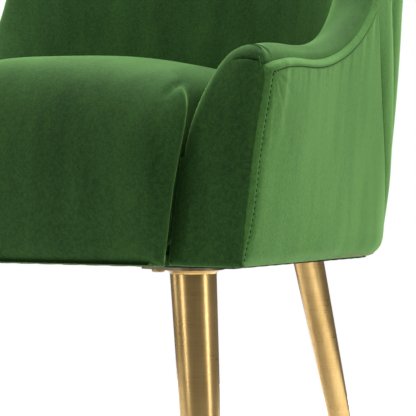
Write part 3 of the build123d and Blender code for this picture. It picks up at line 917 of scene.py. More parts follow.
# ------------------------------------------------------------------ the shell's form
@dataclass(frozen=True)
class ShellForm:
    """The chair's shell: straight flared sides that run into a barrel back."""

    underside: float = 0.290
    overall_depth: float = 0.660
    overall_height: float = 0.860
    arm_front: float = -0.301
    half_front: float = 0.302
    barrel_radius: float = 0.2595
    side_flare: float = 4.9
    barrel_flare: float = 4.0
    back_drift: float = 1.35
    arm_front_lean: float = 5.0
    arm_height: float = 0.466
    roll_height: float = 0.015
    arm_thickness: float = 0.071
    back_thickness: float = 0.060
    turn_share: float = 0.5
    corner_flare: float = 0.0048

    @property
    def barrel_centre(self) -> float:
        """Where the barrel's axis stands at the underside."""
        rake = math.tan(math.radians(self.barrel_flare)) + math.tan(math.radians(self.back_drift))
        drift = (self.overall_height - self.underside) * rake
        return self.overall_depth / 2 - drift - self.barrel_radius

    def plan(
        self, height: Number, arm_inset: Number, back_inset: Number
    ) -> tuple[Number, Number, Number]:
        """Centre and radius of the barrel's arc and the angle where the side meets it."""
        rise = np.asarray(height, float) - self.underside
        corner_x = self.half_front + rise * math.tan(math.radians(self.side_flare)) - arm_inset
        centre = self.barrel_centre + rise * math.tan(math.radians(self.back_drift))
        radius = self.barrel_radius + rise * math.tan(math.radians(self.barrel_flare)) - back_inset
        corner_y = self.arm_front - centre
        turn = np.arctan2(corner_y, corner_x) + np.arccos(radius / np.hypot(corner_x, corner_y))
        return centre, radius, turn

    def front_y(self, height: Number) -> Number:
        """The leaning arm front at a height."""
        lean = math.tan(math.radians(self.arm_front_lean))
        return self.arm_front + (np.asarray(height, float) - self.underside) * lean

    def at(
        self, lap: Number, height: Number, arm_inset: Number = 0.0, back_inset: Number = 0.0
    ) -> Array:
        """Points of the shell.

        Args:
            lap: 1 at the right arm front, 0 at the middle of the back, -1 at the left.
            height: Height of each point.
            arm_inset: Distance inside the outer face, at the arms.
            back_inset: The same, round the back.

        Returns:
            Array of points.
        """
        lap, height = np.broadcast_arrays(np.asarray(lap, float), np.asarray(height, float))
        away = np.abs(lap)
        centre, radius, turn = self.plan(height, arm_inset, back_inset)
        arc = np.clip(away / self.turn_share, 0, 1)
        angle = turn + (1 - arc) * (math.pi / 2 - turn)
        run = (away - self.turn_share) / (1 - self.turn_share)
        tangent_y = centre + radius * np.sin(turn)
        line_y = mix(tangent_y, self.front_y(height), run)
        line_x = (radius - (line_y - centre) * np.sin(turn)) / np.cos(turn)
        straight = away > self.turn_share
        sprung = self.corner_flare * (ease(0.370, 0.470, height) - 0.3) * ease(0.84, 1.0, away)
        x = np.where(straight, line_x, radius * np.cos(angle)) + sprung
        x = x * np.where(lap < 0, -1.0, 1.0)
        y = np.where(straight, line_y, centre + radius * np.sin(angle))
        return np.stack([x, y, height], -1)

    def lap_at(self, y: Number, height: Number) -> Number:
        """The right-hand lap where the outer face has a given y."""
        centre, radius, turn = self.plan(height, 0.0, 0.0)
        tangent_y = centre + radius * np.sin(turn)
        run = (y - tangent_y) / (self.front_y(height) - tangent_y)
        angle = np.arcsin(np.clip((y - centre) / radius, -1, 1))
        arc = 1 - (angle - turn) / (math.pi / 2 - turn)
        straight = self.turn_share + (1 - self.turn_share) * run
        return np.where(y < tangent_y, straight, self.turn_share * arc)

    def seam_table(self) -> Array:
        """Side view of the top seam, as rows of (y, z)."""
        low = ((0.014, -0.015), (0.038, -0.0065), (0.133, 0.008), (0.239, 0.043), (0.307, 0.098))
        high = ((0.341, 0.44), (0.372, 0.71), (0.396, 0.87), (0.440, 0.975), (0.520, 1.0))
        rise = self.overall_height - self.roll_height - self.arm_height
        points = [(self.arm_front + y, self.arm_height + z) for y, z in low]
        points += [(self.arm_front + y, self.arm_height + share * rise) for y, share in high]
        return Glide(tuple(points), (2.0, 1.0), (1.0, 0.0)).table()

    def seam(self, y: Number) -> Number:
        """Height of the top seam at a y."""
        table = self.seam_table()
        front_slope = 0.5
        height = np.interp(y, table[:, 0], table[:, 1])
        return height - np.clip(table[0, 0] - np.asarray(y, float), 0, None) * front_slope

    def crest(self, y: Number) -> Number:
        """The seam's line carried straight on to the arm front, without its rounded corner."""
        y = np.asarray(y, float)
        start = self.arm_front + 0.041
        return self.seam(np.maximum(y, start)) + 0.20 * np.minimum(y - start, 0.0)

    def seam_slope(self, y: Number) -> Number:
        """Angle of the top seam above level."""
        y, step = np.asarray(y), 0.002
        return np.arctan2(self.seam(y + step) - self.seam(y - step), 2 * step)

    def solve(self, lap: Callable[[Array], Array], share: Array, low: Number) -> Array:
        """Heights at a share of the way from a low height to the seam.

        Args:
            lap: Gives the lap for a height, since an edge may lean.
            share: 0 at the low height and 1 at the seam.
            low: The low height.

        Returns:
            The heights.
        """
        bottom = np.full(share.shape, self.underside - 0.01)
        top = np.full(share.shape, self.overall_height + 0.05)
        for _ in range(36):
            middle = (bottom + top) / 2
            y = self.at(lap(middle), middle)[..., 1]
            over = middle - low - share * (self.seam(y) - low) > 0
            top = np.where(over, middle, top)
            bottom = np.where(over, bottom, middle)
        return (bottom + top) / 2

    def pleat_lap(self, height: Number) -> Number:
        """Lap of the line where the outside panels end and the pleats begin."""
        drop = np.clip(0.566 - np.asarray(height, float), 0, None)
        return self.lap_at(self.arm_front + 0.305 + drop * 0.135 / 0.316, height)

    def side_length(self, height: Number) -> Number:
        """Length of the straight side."""
        centre, radius, turn = self.plan(height, 0.0, 0.0)
        return (centre + radius * np.sin(turn) - self.front_y(height)) / np.cos(turn)


@dataclass
class OutsideVelvet:
    """The outside of the arms and back: side panels with their topstitching, pleated back."""

    shop: Workshop
    form: ShellForm
    panel_start: float = 0.0024
    stitch_inset: float = 0.0075
    stitch_length: float = 0.0035
    stitch_radius: float = 0.00062
    stitch_pitch: float = 0.0047
    welt: float = 0.0005
    seam_dip: float = 0.0030
    plain: float = 0.0022
    puff: float = 0.0043
    padding: float = 0.0068
    hem: float = 0.027
    panel_rows: int = 118
    panel_columns: int = 150
    back_rows: int = 104
    back_columns: int = 331
    pleat_count: int = 13
    pleat_depth: float = 0.0052
    pleat_crease: float = 0.62

    def bottom_edge(self, lap: Number) -> tuple[Number, Number]:
        """Reach inwards and height of the rounded bottom edge."""
        share = ease(0.55, 0.95, np.abs(lap))
        return mix(0.0150, 0.0080, share), mix(0.0260, 0.0090, share)

    def edges(self, lap: Number, height: Number) -> tuple[Array, Array]:
        """Distance from the front seam and from the top seam, along the face."""
        base = self.form.at(lap, height)
        slope = self.form.seam_slope(base[..., 1])
        top = (self.form.seam(base[..., 1]) - height) * np.cos(slope)
        share = (1 - np.abs(lap)) / (1 - self.form.turn_share)
        return share * self.form.side_length(height), top

    @staticmethod
    def turned(gap: Array, radius: float, angle: float) -> Array:
        """How far a rounded edge falls away, by distance from its seam.

        Args:
            gap: Distance from the seam.
            radius: Radius of the rounding.
            angle: Degrees that the cloth has turned where it reaches the seam.

        Returns:
            The fall, zero past the rounding.
        """
        reach = radius * math.sin(math.radians(angle))
        left = np.clip(reach - np.clip(gap, 0, None), 0, None)
        return radius - np.sqrt(radius**2 - left**2)

    def relief(self, lap: Number, height: Number) -> Array:
        """How far a side panel stands out from the plain shell."""
        front, top = self.edges(lap, height)
        nearest = np.minimum(front, top)
        corner = np.hypot(front - self.stitch_inset, top - self.stitch_inset)
        bearing = np.arctan2(top - self.stitch_inset, front - self.stitch_inset)
        beyond = np.clip(nearest - self.stitch_inset, 0, None)
        flat = self.form.at(lap, height)
        above = height - self.form.underside
        full = self.plain + self.puff * ease(0.190, 0.060, front) * ease(0.0, 0.05, above)
        out = full - self.turned(front, 0.021, 50.0) - self.turned(top, 0.016, 24.0)
        sunk = np.exp(-((np.clip(nearest, 0, None) / 0.0024) ** 1.5))
        out = out - (self.seam_dip + 0.0004) * sunk
        out = out + self.welt * ease(0.0005, 0.0020, nearest) * ease(0.0100, 0.0070, nearest)
        out = out - 0.0012 * bell(nearest - self.stitch_inset, 0.0011)
        fan = np.cos(bearing * 17.0 + 0.9) + 0.6 * np.cos(bearing * 29.0 + 2.0)
        out = out + 0.00042 * fan * np.exp(-corner / 0.026) * ease(0.0, 0.006, beyond)
        running = np.where(front < top, height, flat[..., 1])
        along = np.stack([running, running * 0, running * 0], -1)
        tugs = Ripple(31, (0.016, 0.016, 0.016), 5).at(along)
        out = out + 0.00034 * tugs * np.exp(-beyond / 0.012) * ease(0.0, 0.003, beyond)
        fold = bell(front - 0.030 - (0.44 - height) * 0.02, 0.008) * ease(0.36, 0.43, height)
        out = out + 0.0009 * fold
        out = out + 0.00075 * Ripple(12, (0.16, 0.11, 0.42)).at(flat) * ease(0.0, 0.03, nearest)
        return out

    def panel_point(self, lap: Number, height: Number) -> Array:
        """Seen surface of a side panel."""
        out = self.relief(lap, height)
        return self.form.at(lap, height, -out, -out)

    def rows(self, count: int) -> tuple[Array, Array, Array]:
        """How the rows of an outside piece run: under the hem, round the edge and up.

        Args:
            count: Rows above the rounded edge.

        Returns:
            Share of the hem, angle round the bottom edge and share of the height, per row.
        """
        hem = np.linspace(1.0, 0.12, 5)
        bend = np.linspace(0.0, math.pi / 2, 9)
        rise = edged(count, 0.55)[1:]
        under = np.concatenate([hem, np.zeros(len(bend) + len(rise))])
        angle = np.concatenate([np.zeros(len(hem)), bend, np.full(len(rise), math.pi / 2)])
        share = np.concatenate([np.zeros(len(hem) + len(bend)), rise])
        return under, angle, share

    def surface(
        self,
        lap: Callable[[Array], Array],
        count: int,
        columns: int,
        relief: Callable[[Array, Array], Array],
    ) -> tuple[Array, Array]:
        """Seen and hidden grids of an outside piece.

        Args:
            lap: Lap of each column for a grid of heights.
            count: Rows above the rounded edge.
            columns: Number of columns.
            relief: How far each point stands out, by lap and height.

        Returns:
            The two grids.
        """
        under, angle, share = (np.repeat(a[:, None], columns, 1) for a in self.rows(count))
        guess = lap(np.full(under.shape, self.form.underside))
        reach, rise = self.bottom_edge(guess)
        low = self.form.underside + rise
        height = self.form.solve(lap, share, low)
        bend = rise * (1 - np.cos(angle))
        height = np.where(share > 0, height, self.form.underside + bend)
        where = lap(height)
        tuck = reach * (1 - np.sin(angle)) + under * self.hem
        out = relief(where, height) * ease(0.0, 0.012, height - self.form.underside) - tuck
        outer = self.form.at(where, height, -out, -out)
        deep = self.padding + tuck * (under <= 0) + under * self.hem
        inner_height = np.maximum(height - 0.0012, self.form.underside + 0.0016)
        inner = self.form.at(where, inner_height, deep, deep)
        return outer, inner

    def side_panel(self, side: Side) -> Thing:
        """One side panel with its padding, from the arm front to the first pleat."""
        across = edged(self.panel_columns, 0.8)[None, :]

        def lap(height: Array) -> Array:
            """Lap of each column."""
            inset = self.panel_start / self.form.side_length(height)
            start = 1 - inset * (1 - self.form.turn_share)
            return start + across * (self.form.pleat_lap(height) - start)

        outer, inner = self.surface(lap, self.panel_rows, self.panel_columns, self.relief)
        if side is Side.LEFT:
            outer, inner = mirrored(outer), mirrored(inner)
        thing = closed_pad(f"side_panel_{side.word}", outer, inner)
        nodes = (f"outside_panel_{side.word}", f"arm_outer_padding_{side.word}")
        return self.shop.deliver(thing, "velvet_outside", nodes, fill=0.85)

    def back_relief(self, lap: Array, height: Array) -> Array:
        """How far the pleated back stands out before its pleats."""
        flat = self.form.at(lap, height)
        _, top = self.edges(lap, height)
        out = -self.seam_dip * np.exp(-((np.clip(top, 0, None) / 0.0026) ** 1.4))
        return out + 0.0005 * Ripple(14, (0.2, 0.2, 0.5)).at(flat)

    def pleated_back(self) -> Thing:
        """The outside back; Geometry Nodes press the pleats into its plain surface."""
        across = np.linspace(1, -1, self.back_columns)[None, :]

        def lap(height: Array) -> Array:
            """Lap of each column."""
            return across * self.form.pleat_lap(height)

        outer, inner = self.surface(lap, self.back_rows, self.back_columns, self.back_relief)
        thing = closed_pad("pleated_back", outer, inner)
        rows = outer.shape[0]
        under, _, _ = self.rows(self.back_rows)
        phase = np.repeat((across + 1) / 2, rows, 0)
        _, top = self.edges(lap(outer[..., 2]), outer[..., 2])
        fade = ease(-0.002, 0.05, top) * ease(-0.01, 0.10, outer[..., 2] - self.form.underside)
        fade = np.where(under[:, None] > 0, 0.0, np.clip(fade, 0, 1))
        outward = outer - inner
        outward[..., 2] = 0
        outward /= np.linalg.norm(outward, axis=-1, keepdims=True)
        self._store(thing, outer, phase, fade, outward)
        shop = GeoShop("press_pleats")
        depth = shop.size("Pleat Depth", self.pleat_depth)
        count = shop.size("Pleats", float(self.pleat_count))
        sharp = shop.size("Crease", self.pleat_crease)
        phase_at, fade_at = shop.stored("phase", "FLOAT"), shop.stored("fade", "FLOAT")
        outward_at = shop.stored("outward", "FLOAT_VECTOR")
        turns = shop.maths("MULTIPLY", phase_at, count)
        wave = shop.maths("SINE", shop.maths("MULTIPLY", turns, math.pi))
        shaped = shop.maths("POWER", shop.maths("ABSOLUTE", wave), sharp)
        high = shop.maths("MULTIPLY", shop.maths("MULTIPLY", shaped, fade_at), depth)
        moved = shop.pushed(shop.entry.outputs[0], outward_at, high)
        pressed = shop.run(thing, moved, self.shop.finishes.made["velvet_outside"])
        nodes = ("outside_back", "back_outer_padding")
        return self.shop.deliver(pressed, "velvet_outside", nodes, fill=0.85)

    @staticmethod
    def _store(
        thing: Thing, outer: Array, phase: Array, fade: Array, outward: Array
    ) -> None:
        """Write the pleats' numbers on the seen vertices, found by their place."""
        points = np.zeros(len(thing.data.vertices) * 3)
        thing.data.vertices.foreach_get("co", points)
        points = points.reshape(-1, 3)

        def key(point: Array) -> tuple[int, ...]:
            """The point's place in steps of 0.01 mm."""
            return tuple(np.round(point * 1e5).astype(int))

        keys = {key(p): i for i, p in enumerate(outer.reshape(-1, 3))}
        found = np.array([keys.get(key(p), -1) for p in points])
        seen = found >= 0
        for name, values in (("phase", phase), ("fade", fade)):
            data = np.where(seen, values.ravel()[found], 0.0).astype(np.float32)
            thing.data.attributes.new(name, "FLOAT", "POINT").data.foreach_set("value", data)
        data = np.where(seen[:, None], outward.reshape(-1, 3)[found], 0.0)
        attribute = thing.data.attributes.new("outward", "FLOAT_VECTOR", "POINT")
        attribute.data.foreach_set("vector", data.astype(np.float32).ravel())

    def stitch_line(self, side: Side) -> tuple[Array, Array]:
        """The topstitching of a side panel: up its front edge, then along the top seam.

        Returns:
            Points on the cloth and the outward direction at each.
        """
        form = self.form
        climb = np.linspace(0.296, 0.4475, 90)
        upright = 1 - (1 - form.turn_share) * self.stitch_inset / form.side_length(climb)
        table = form.seam_table()
        keep = (table[:, 0] > form.arm_front + 0.020) & (table[:, 0] < form.arm_front + 0.297)
        y, z = table[keep, 0], table[keep, 1]
        slope = form.seam_slope(y)
        along_y = y + np.sin(slope) * self.stitch_inset
        along_z = z - np.cos(slope) * self.stitch_inset
        lap = np.concatenate([upright, form.lap_at(along_y, along_z)])
        height = np.concatenate([climb, along_z])
        points = self.panel_point(lap, height)
        step = 0.0015
        across = self.panel_point(lap - step, height) - self.panel_point(lap + step, height)
        rising = self.panel_point(lap, height + step) - self.panel_point(lap, height - step)
        outward = np.cross(across, rising)
        outward /= np.linalg.norm(outward, axis=1, keepdims=True)
        if np.mean(outward[:, 0]) < 0:
            outward = -outward
        if side is Side.LEFT:
            return mirrored(points), mirrored(outward)
        return points, outward

    def stitches(self) -> Thing:
        """Every topstitch of both side panels."""
        lines, ups = zip(*(self.stitch_line(side) for side in Side))
        body = stitch_body("stitch", self.stitch_length, self.stitch_radius)
        row = Row("topstitching", self.stitch_pitch, lift=0.0001, jitter=0.00006)
        thing = row.lay(body, lines, ups, self.shop.finishes.made["thread"])
        return self.shop.deliver(thing, "velvet_outside", material="thread")

    def build(self) -> None:
        """Make every outside piece."""
        for side in Side:
            self.side_panel(side)
        self.pleated_back()
        self.stitches()


def stitch_body(name: str, length: float, radius: float) -> Thing:
    """One stitch: a short, slightly bowed strand lying along +X.

    Args:
        name: Name of the object.
        length: Length of the strand.
        radius: Radius at its middle.

    Returns:
        The new object.
    """
    steps, sides = 5, 6
    points = []
    for i in range(steps):
        share = i / (steps - 1) * 2 - 1
        thick = radius * math.sqrt(max(1 - (share * 0.97) ** 4, 0.03))
        sink = -radius * 1.3 * share**4
        for j in range(sides):
            angle = 2 * math.pi * j / sides
            y, z = thick * math.cos(angle), sink + thick * math.sin(angle)
            points.append((share * length / 2, y, z))
    faces = hoops(steps, sides)
    faces.append(tuple(range(sides)))
    faces.append(tuple((steps - 1) * sides + j for j in range(sides)))
    return new_object(name, np.array(points), faces)


# ------------------------------------------------------------------ inside of arms and back
@dataclass(frozen=True)
class Roll:
    """Section of the soft roll over the arms and back, and of the padded face below it."""

    form: ShellForm
    deck: float = 0.381
    rows: int = 54
    face_rows: int = 50
    end_lap: float = 0.981
    drawn_thickness: float = 0.071
    lap_length: float = 0.69
    seam_inset: float = 0.0015
    arm: tuple[Pair, ...] = (
        (0.012, -0.0010), (0.04, 0.0060), (0.14, 0.0120), (0.34, 0.0145), (0.56, 0.0085),
        (0.75, -0.007), (0.89, -0.028), (0.97, -0.050), (1.0, -0.075),
    )
    back: tuple[Pair, ...] = (
        (0.012, -0.0010), (0.04, 0.0060), (0.15, 0.0125), (0.37, 0.0148), (0.62, 0.0105),
        (0.82, -0.003), (0.945, -0.024), (0.99, -0.046), (1.0, -0.070),
    )

    def end_radius(self, share: Array) -> Array:
        """Radius of the arm's rounded front end, by share of the arm's thickness."""
        return 0.0052 + 0.0068 * ease(0.0, 0.32, share) + 0.0020 * ease(0.5, 0.85, share)

    def section(self, lap: Array) -> tuple[Array, Array, Array, Array]:
        """Section at each lap, from the outer seam over the roll and down to the deck.

        Args:
            lap: Lap of each column.

        Returns:
            Lap, inset at the arms, inset round the back and height, each (rows, columns).
        """
        form = self.form
        tables = []
        for points in (self.arm, self.back):
            scaled = tuple((share * self.drawn_thickness, height) for share, height in points)
            tables.append(Glide(scaled, (0.25, 1.0), (0.0, -1.0)).table(self.rows))
        weight = ease(0.75, 0.45, np.abs(lap))[None, :]
        share = mix(tables[0][:, :1], tables[1][:, :1], weight) / self.drawn_thickness
        height = mix(tables[0][:, 1:], tables[1][:, 1:], weight)
        seam_z = form.solve(lambda _: lap[None, :], np.ones((1, len(lap))), form.underside)
        seam_y = form.at(lap[None, :], seam_z)[..., 1]
        slope = form.seam_slope(seam_y) * ease(0.02, 0.20, np.abs(lap))
        lift = (form.crest(seam_y) - seam_z) * ease(0.0, 0.26, share)
        level = seam_z + lift + np.cos(slope * 0.8) * height
        place = lap[None, :] + np.sin(slope * 0.8) * height / self.lap_length * np.sign(lap)
        place = np.clip(place, -self.end_lap, self.end_lap)
        down = np.linspace(0, 1, self.face_rows + 1)[1:, None]
        face_z = mix(level[-1:], self.deck, down)
        face_lap = mix(place[-1:], lap[None, :], ease(0, 1, down))
        ones = np.ones_like(face_z)
        arm, rear = (
            np.concatenate([mix(self.seam_inset, thickness, share), thickness * ones])
            for thickness in (form.arm_thickness, form.back_thickness)
        )
        return np.concatenate([place, face_lap]), arm, rear, np.concatenate([level, face_z])


@dataclass
class InsideUpholstery:
    """Padded inside of the arms and back, in one piece with the roll over their top."""

    shop: Workshop
    form: ShellForm
    roll: Roll
    columns: int = 361
    end_columns: int = 10
    board_inset: float = 0.034

    def belly(self, lap: Array, height: Array) -> Array:
        """How far the padding swells inwards."""
        middle = ease(0.62, 0.25, np.abs(lap))
        return 0.006 * middle * ease(0.46, 0.58, height) * ease(0.80, 0.62, height)

    def grids(self) -> tuple[Array, Array]:
        """Seen and hidden grids, row by row from the outer seam down to the deck."""
        form, roll = self.form, self.roll
        half = edged(self.columns // 2 + 1, 0.4, start=False) * roll.end_lap
        turn = np.linspace(0, math.radians(78), self.end_columns)
        half = np.concatenate([half, np.full(len(turn), roll.end_lap)])
        theta = np.concatenate([np.full(self.columns // 2 + 1, -1.0), turn])
        lap = np.concatenate([-half[:0:-1], half])
        theta = np.concatenate([theta[:0:-1], theta])[None, :]
        ended = theta >= 0
        theta = np.clip(theta, 0, None)
        place, arm, rear, level = roll.section(lap)
        share = np.clip(arm / form.arm_thickness, 0, 1)
        radius = roll.end_radius(share)
        along = np.gradient(arm, axis=0)
        rising = np.gradient(level, axis=0)
        length = np.hypot(along, rising) + 1e-12
        sink = (radius * (1 - np.cos(theta)) + 0.0004) * ended
        reach = form.side_length(level) / (1 - form.turn_share)
        depth = radius * (1 - np.sin(theta))
        place = np.where(ended, np.sign(lap)[None, :] * (1 - depth / reach), place)
        arm = arm + rising / length * sink
        level = level - along / length * sink
        flat = form.at(place, level, arm, rear)
        soft = 0.0007 * Ripple(5, (0.16, 0.16, 0.22)).at(flat) * ease(0.05, 0.4, share)
        out = self.belly(place, level) * ease(0.9, 1.0, share) + soft
        outer = form.at(place, level, arm + out, rear + out)
        hidden_in = np.minimum(0.004 + share * 0.034, self.board_inset)
        hidden_z = level - 0.004 * (share < 0.999) - 0.010 * ease(0.1, 0.6, share) * (share < 0.999)
        inner = form.at(place, np.maximum(hidden_z, roll.deck), hidden_in, hidden_in)
        return outer, inner

    def build(self) -> None:
        """Make the inside upholstery."""
        outer, inner = self.grids()
        thing = closed_pad("inside_upholstery", outer, inner)
        nodes = ("inside_cover", "arm_foam_right", "arm_foam_left", "back_foam")
        self.shop.deliver(thing, "velvet", nodes, fill=0.85)


# ------------------------------------------------------------------ arm fronts
@dataclass
class ArmFronts:
    """The narrow upright panel that closes the front of each arm and rounds over its roll."""

    shop: Workshop
    form: ShellForm
    roll: Roll
    edge_radius: float = 0.0044
    inner_radius: float = 0.0060
    foot_radius: float = 0.0050
    swell: float = 0.0022
    back: float = 0.0150
    low_back: float = 0.0460
    seam_line: tuple[Triple, ...] = (
        (0.3215, 0.4440, 0.0), (0.3195, 0.4475, 0.0), (0.3150, 0.4525, 0.8),
        (0.3090, 0.4562, 1.0), (0.3010, 0.4582, 1.0), (0.2920, 0.4590, 0.7),
        (0.2840, 0.4580, 0.0),
    )
    seam_depth: float = 0.0022
    seam_width: float = 0.0009

    def outline(self) -> tuple[Array, Array, Array, int]:
        """Edge of the arm's front in x and z, with its rounding.

        Returns:
            Points from the outer foot over the top to the inner foot, the rounding's radius at
            each, and the index of the highest point.
        """
        low = self.form.underside + 0.0002
        _, arm, rear, level = self.roll.section(np.array([self.roll.end_lap]))
        arm, rear, level = arm[:, 0], rear[:, 0], level[:, 0]
        curve_x = self.form.at(self.roll.end_lap, level, arm, rear)[:, 0]
        share = np.clip(arm / self.form.arm_thickness, 0, 1)
        radius = self.roll.end_radius(share)
        rise_z = np.linspace(low, level[0], 120)[:-1]
        skin = 0.0006
        rise_x = self.form.at(1.0, rise_z, skin, skin)[:, 0]
        blend = ease(0.02, 0.0, level[0] - rise_z)
        rise_x = rise_x + (curve_x[0] - self.form.at(1.0, level[0], skin, skin)[0]) * blend
        fall_z = np.linspace(level[-1], low, 90)[1:]
        thickness = self.form.arm_thickness
        fall_x = self.form.at(self.roll.end_lap, fall_z, thickness, self.form.back_thickness)[:, 0]
        x = np.concatenate([rise_x, curve_x, fall_x])
        z = np.concatenate([rise_z, level, fall_z])
        inner_radius = mix(self.inner_radius, radius[-1], ease(0.395, 0.450, fall_z))
        rounding = np.concatenate([np.full(len(rise_x), self.edge_radius), radius, inner_radius])
        return np.stack([x, z], -1), rounding, int(np.argmax(z))

    def panel(self, side: Side) -> Thing:
        """One arm front with its padding."""
        rows, columns = 150, 84
        edge, rounding, top = self.outline()
        low = self.form.underside + 0.0002
        high = edge[top, 1] - 1e-5
        level = mix(low, high, edged(rows, 0.9))
        height = np.repeat(level[:, None], columns, 1)
        across = np.repeat(edged(columns, 1.0)[None, :], rows, 0)
        outer_x = np.interp(height, edge[: top + 1, 1], edge[: top + 1, 0])
        inner_x = np.interp(height, edge[top:, 1][::-1], edge[top:, 0][::-1])
        x = mix(inner_x, outer_x, across)
        flat = np.stack([x, height], -1).reshape(-1, 2)
        gap = np.linalg.norm(flat[:, None] - edge[None], axis=2)
        nearest = np.argmin(gap, 1)
        local = rounding[nearest].reshape(x.shape)
        gap = np.min(gap, 1).reshape(x.shape)
        gap = np.where((across <= 0) | (across >= 1), 0.0, gap)
        soft = 1 - np.clip(gap / local, 0, 1)
        bend = local * (1 - np.sqrt(np.clip(1 - soft**2, 0, 1)))
        foot = 1 - np.clip((height - low) / self.foot_radius, 0, 1)
        bend = bend + self.foot_radius * (1 - np.sqrt(np.clip(1 - foot**2, 0, 1)))
        middle = ease(0.002, 0.024, gap)
        place = np.stack([x, x * 0 - 0.29, height], -1)
        uneven = Ripple(8, (0.05, 0.1, 0.12)).at(place) * 0.0006
        front = self.form.front_y(height) + bend - (self.swell + uneven) * middle
        front = front + self.seam_groove(x, height)
        seen = np.stack([x, front, height], -1)
        lower = ease(0.410, 0.374, height) * ease(0.45, 0.20, across)
        back = self.form.front_y(height) + mix(self.back, self.low_back, lower)
        deep = np.maximum(front + 0.002, back)
        hidden = np.stack([mix(x, (inner_x + outer_x) / 2, 0.03), deep, height], -1)
        if side is Side.LEFT:
            seen, hidden = mirrored(seen), mirrored(hidden)
        thing = closed_pad(f"arm_front_{side.word}", seen, hidden)
        nodes = (f"arm_front_facing_{side.word}", f"arm_front_padding_{side.word}")
        return self.shop.deliver(thing, "velvet", nodes, fill=0.9)

    def seam_groove(self, x: Array, z: Array) -> Array:
        """Depth of the seam that closes the roll over the panel's outer top corner."""
        line = np.array(self.seam_line)
        marks = np.linspace(0, len(line) - 1, 160)
        dense = along_line(marks, np.arange(len(line)), line)
        gap = np.hypot(x[..., None] - dense[:, 0], z[..., None] - dense[:, 1])
        near = np.argmin(gap, -1)
        return self.seam_depth * dense[near, 2] * bell(np.min(gap, -1), self.seam_width)

    def build(self) -> None:
        """Make both arm fronts."""
        for side in Side:
            self.panel(side)


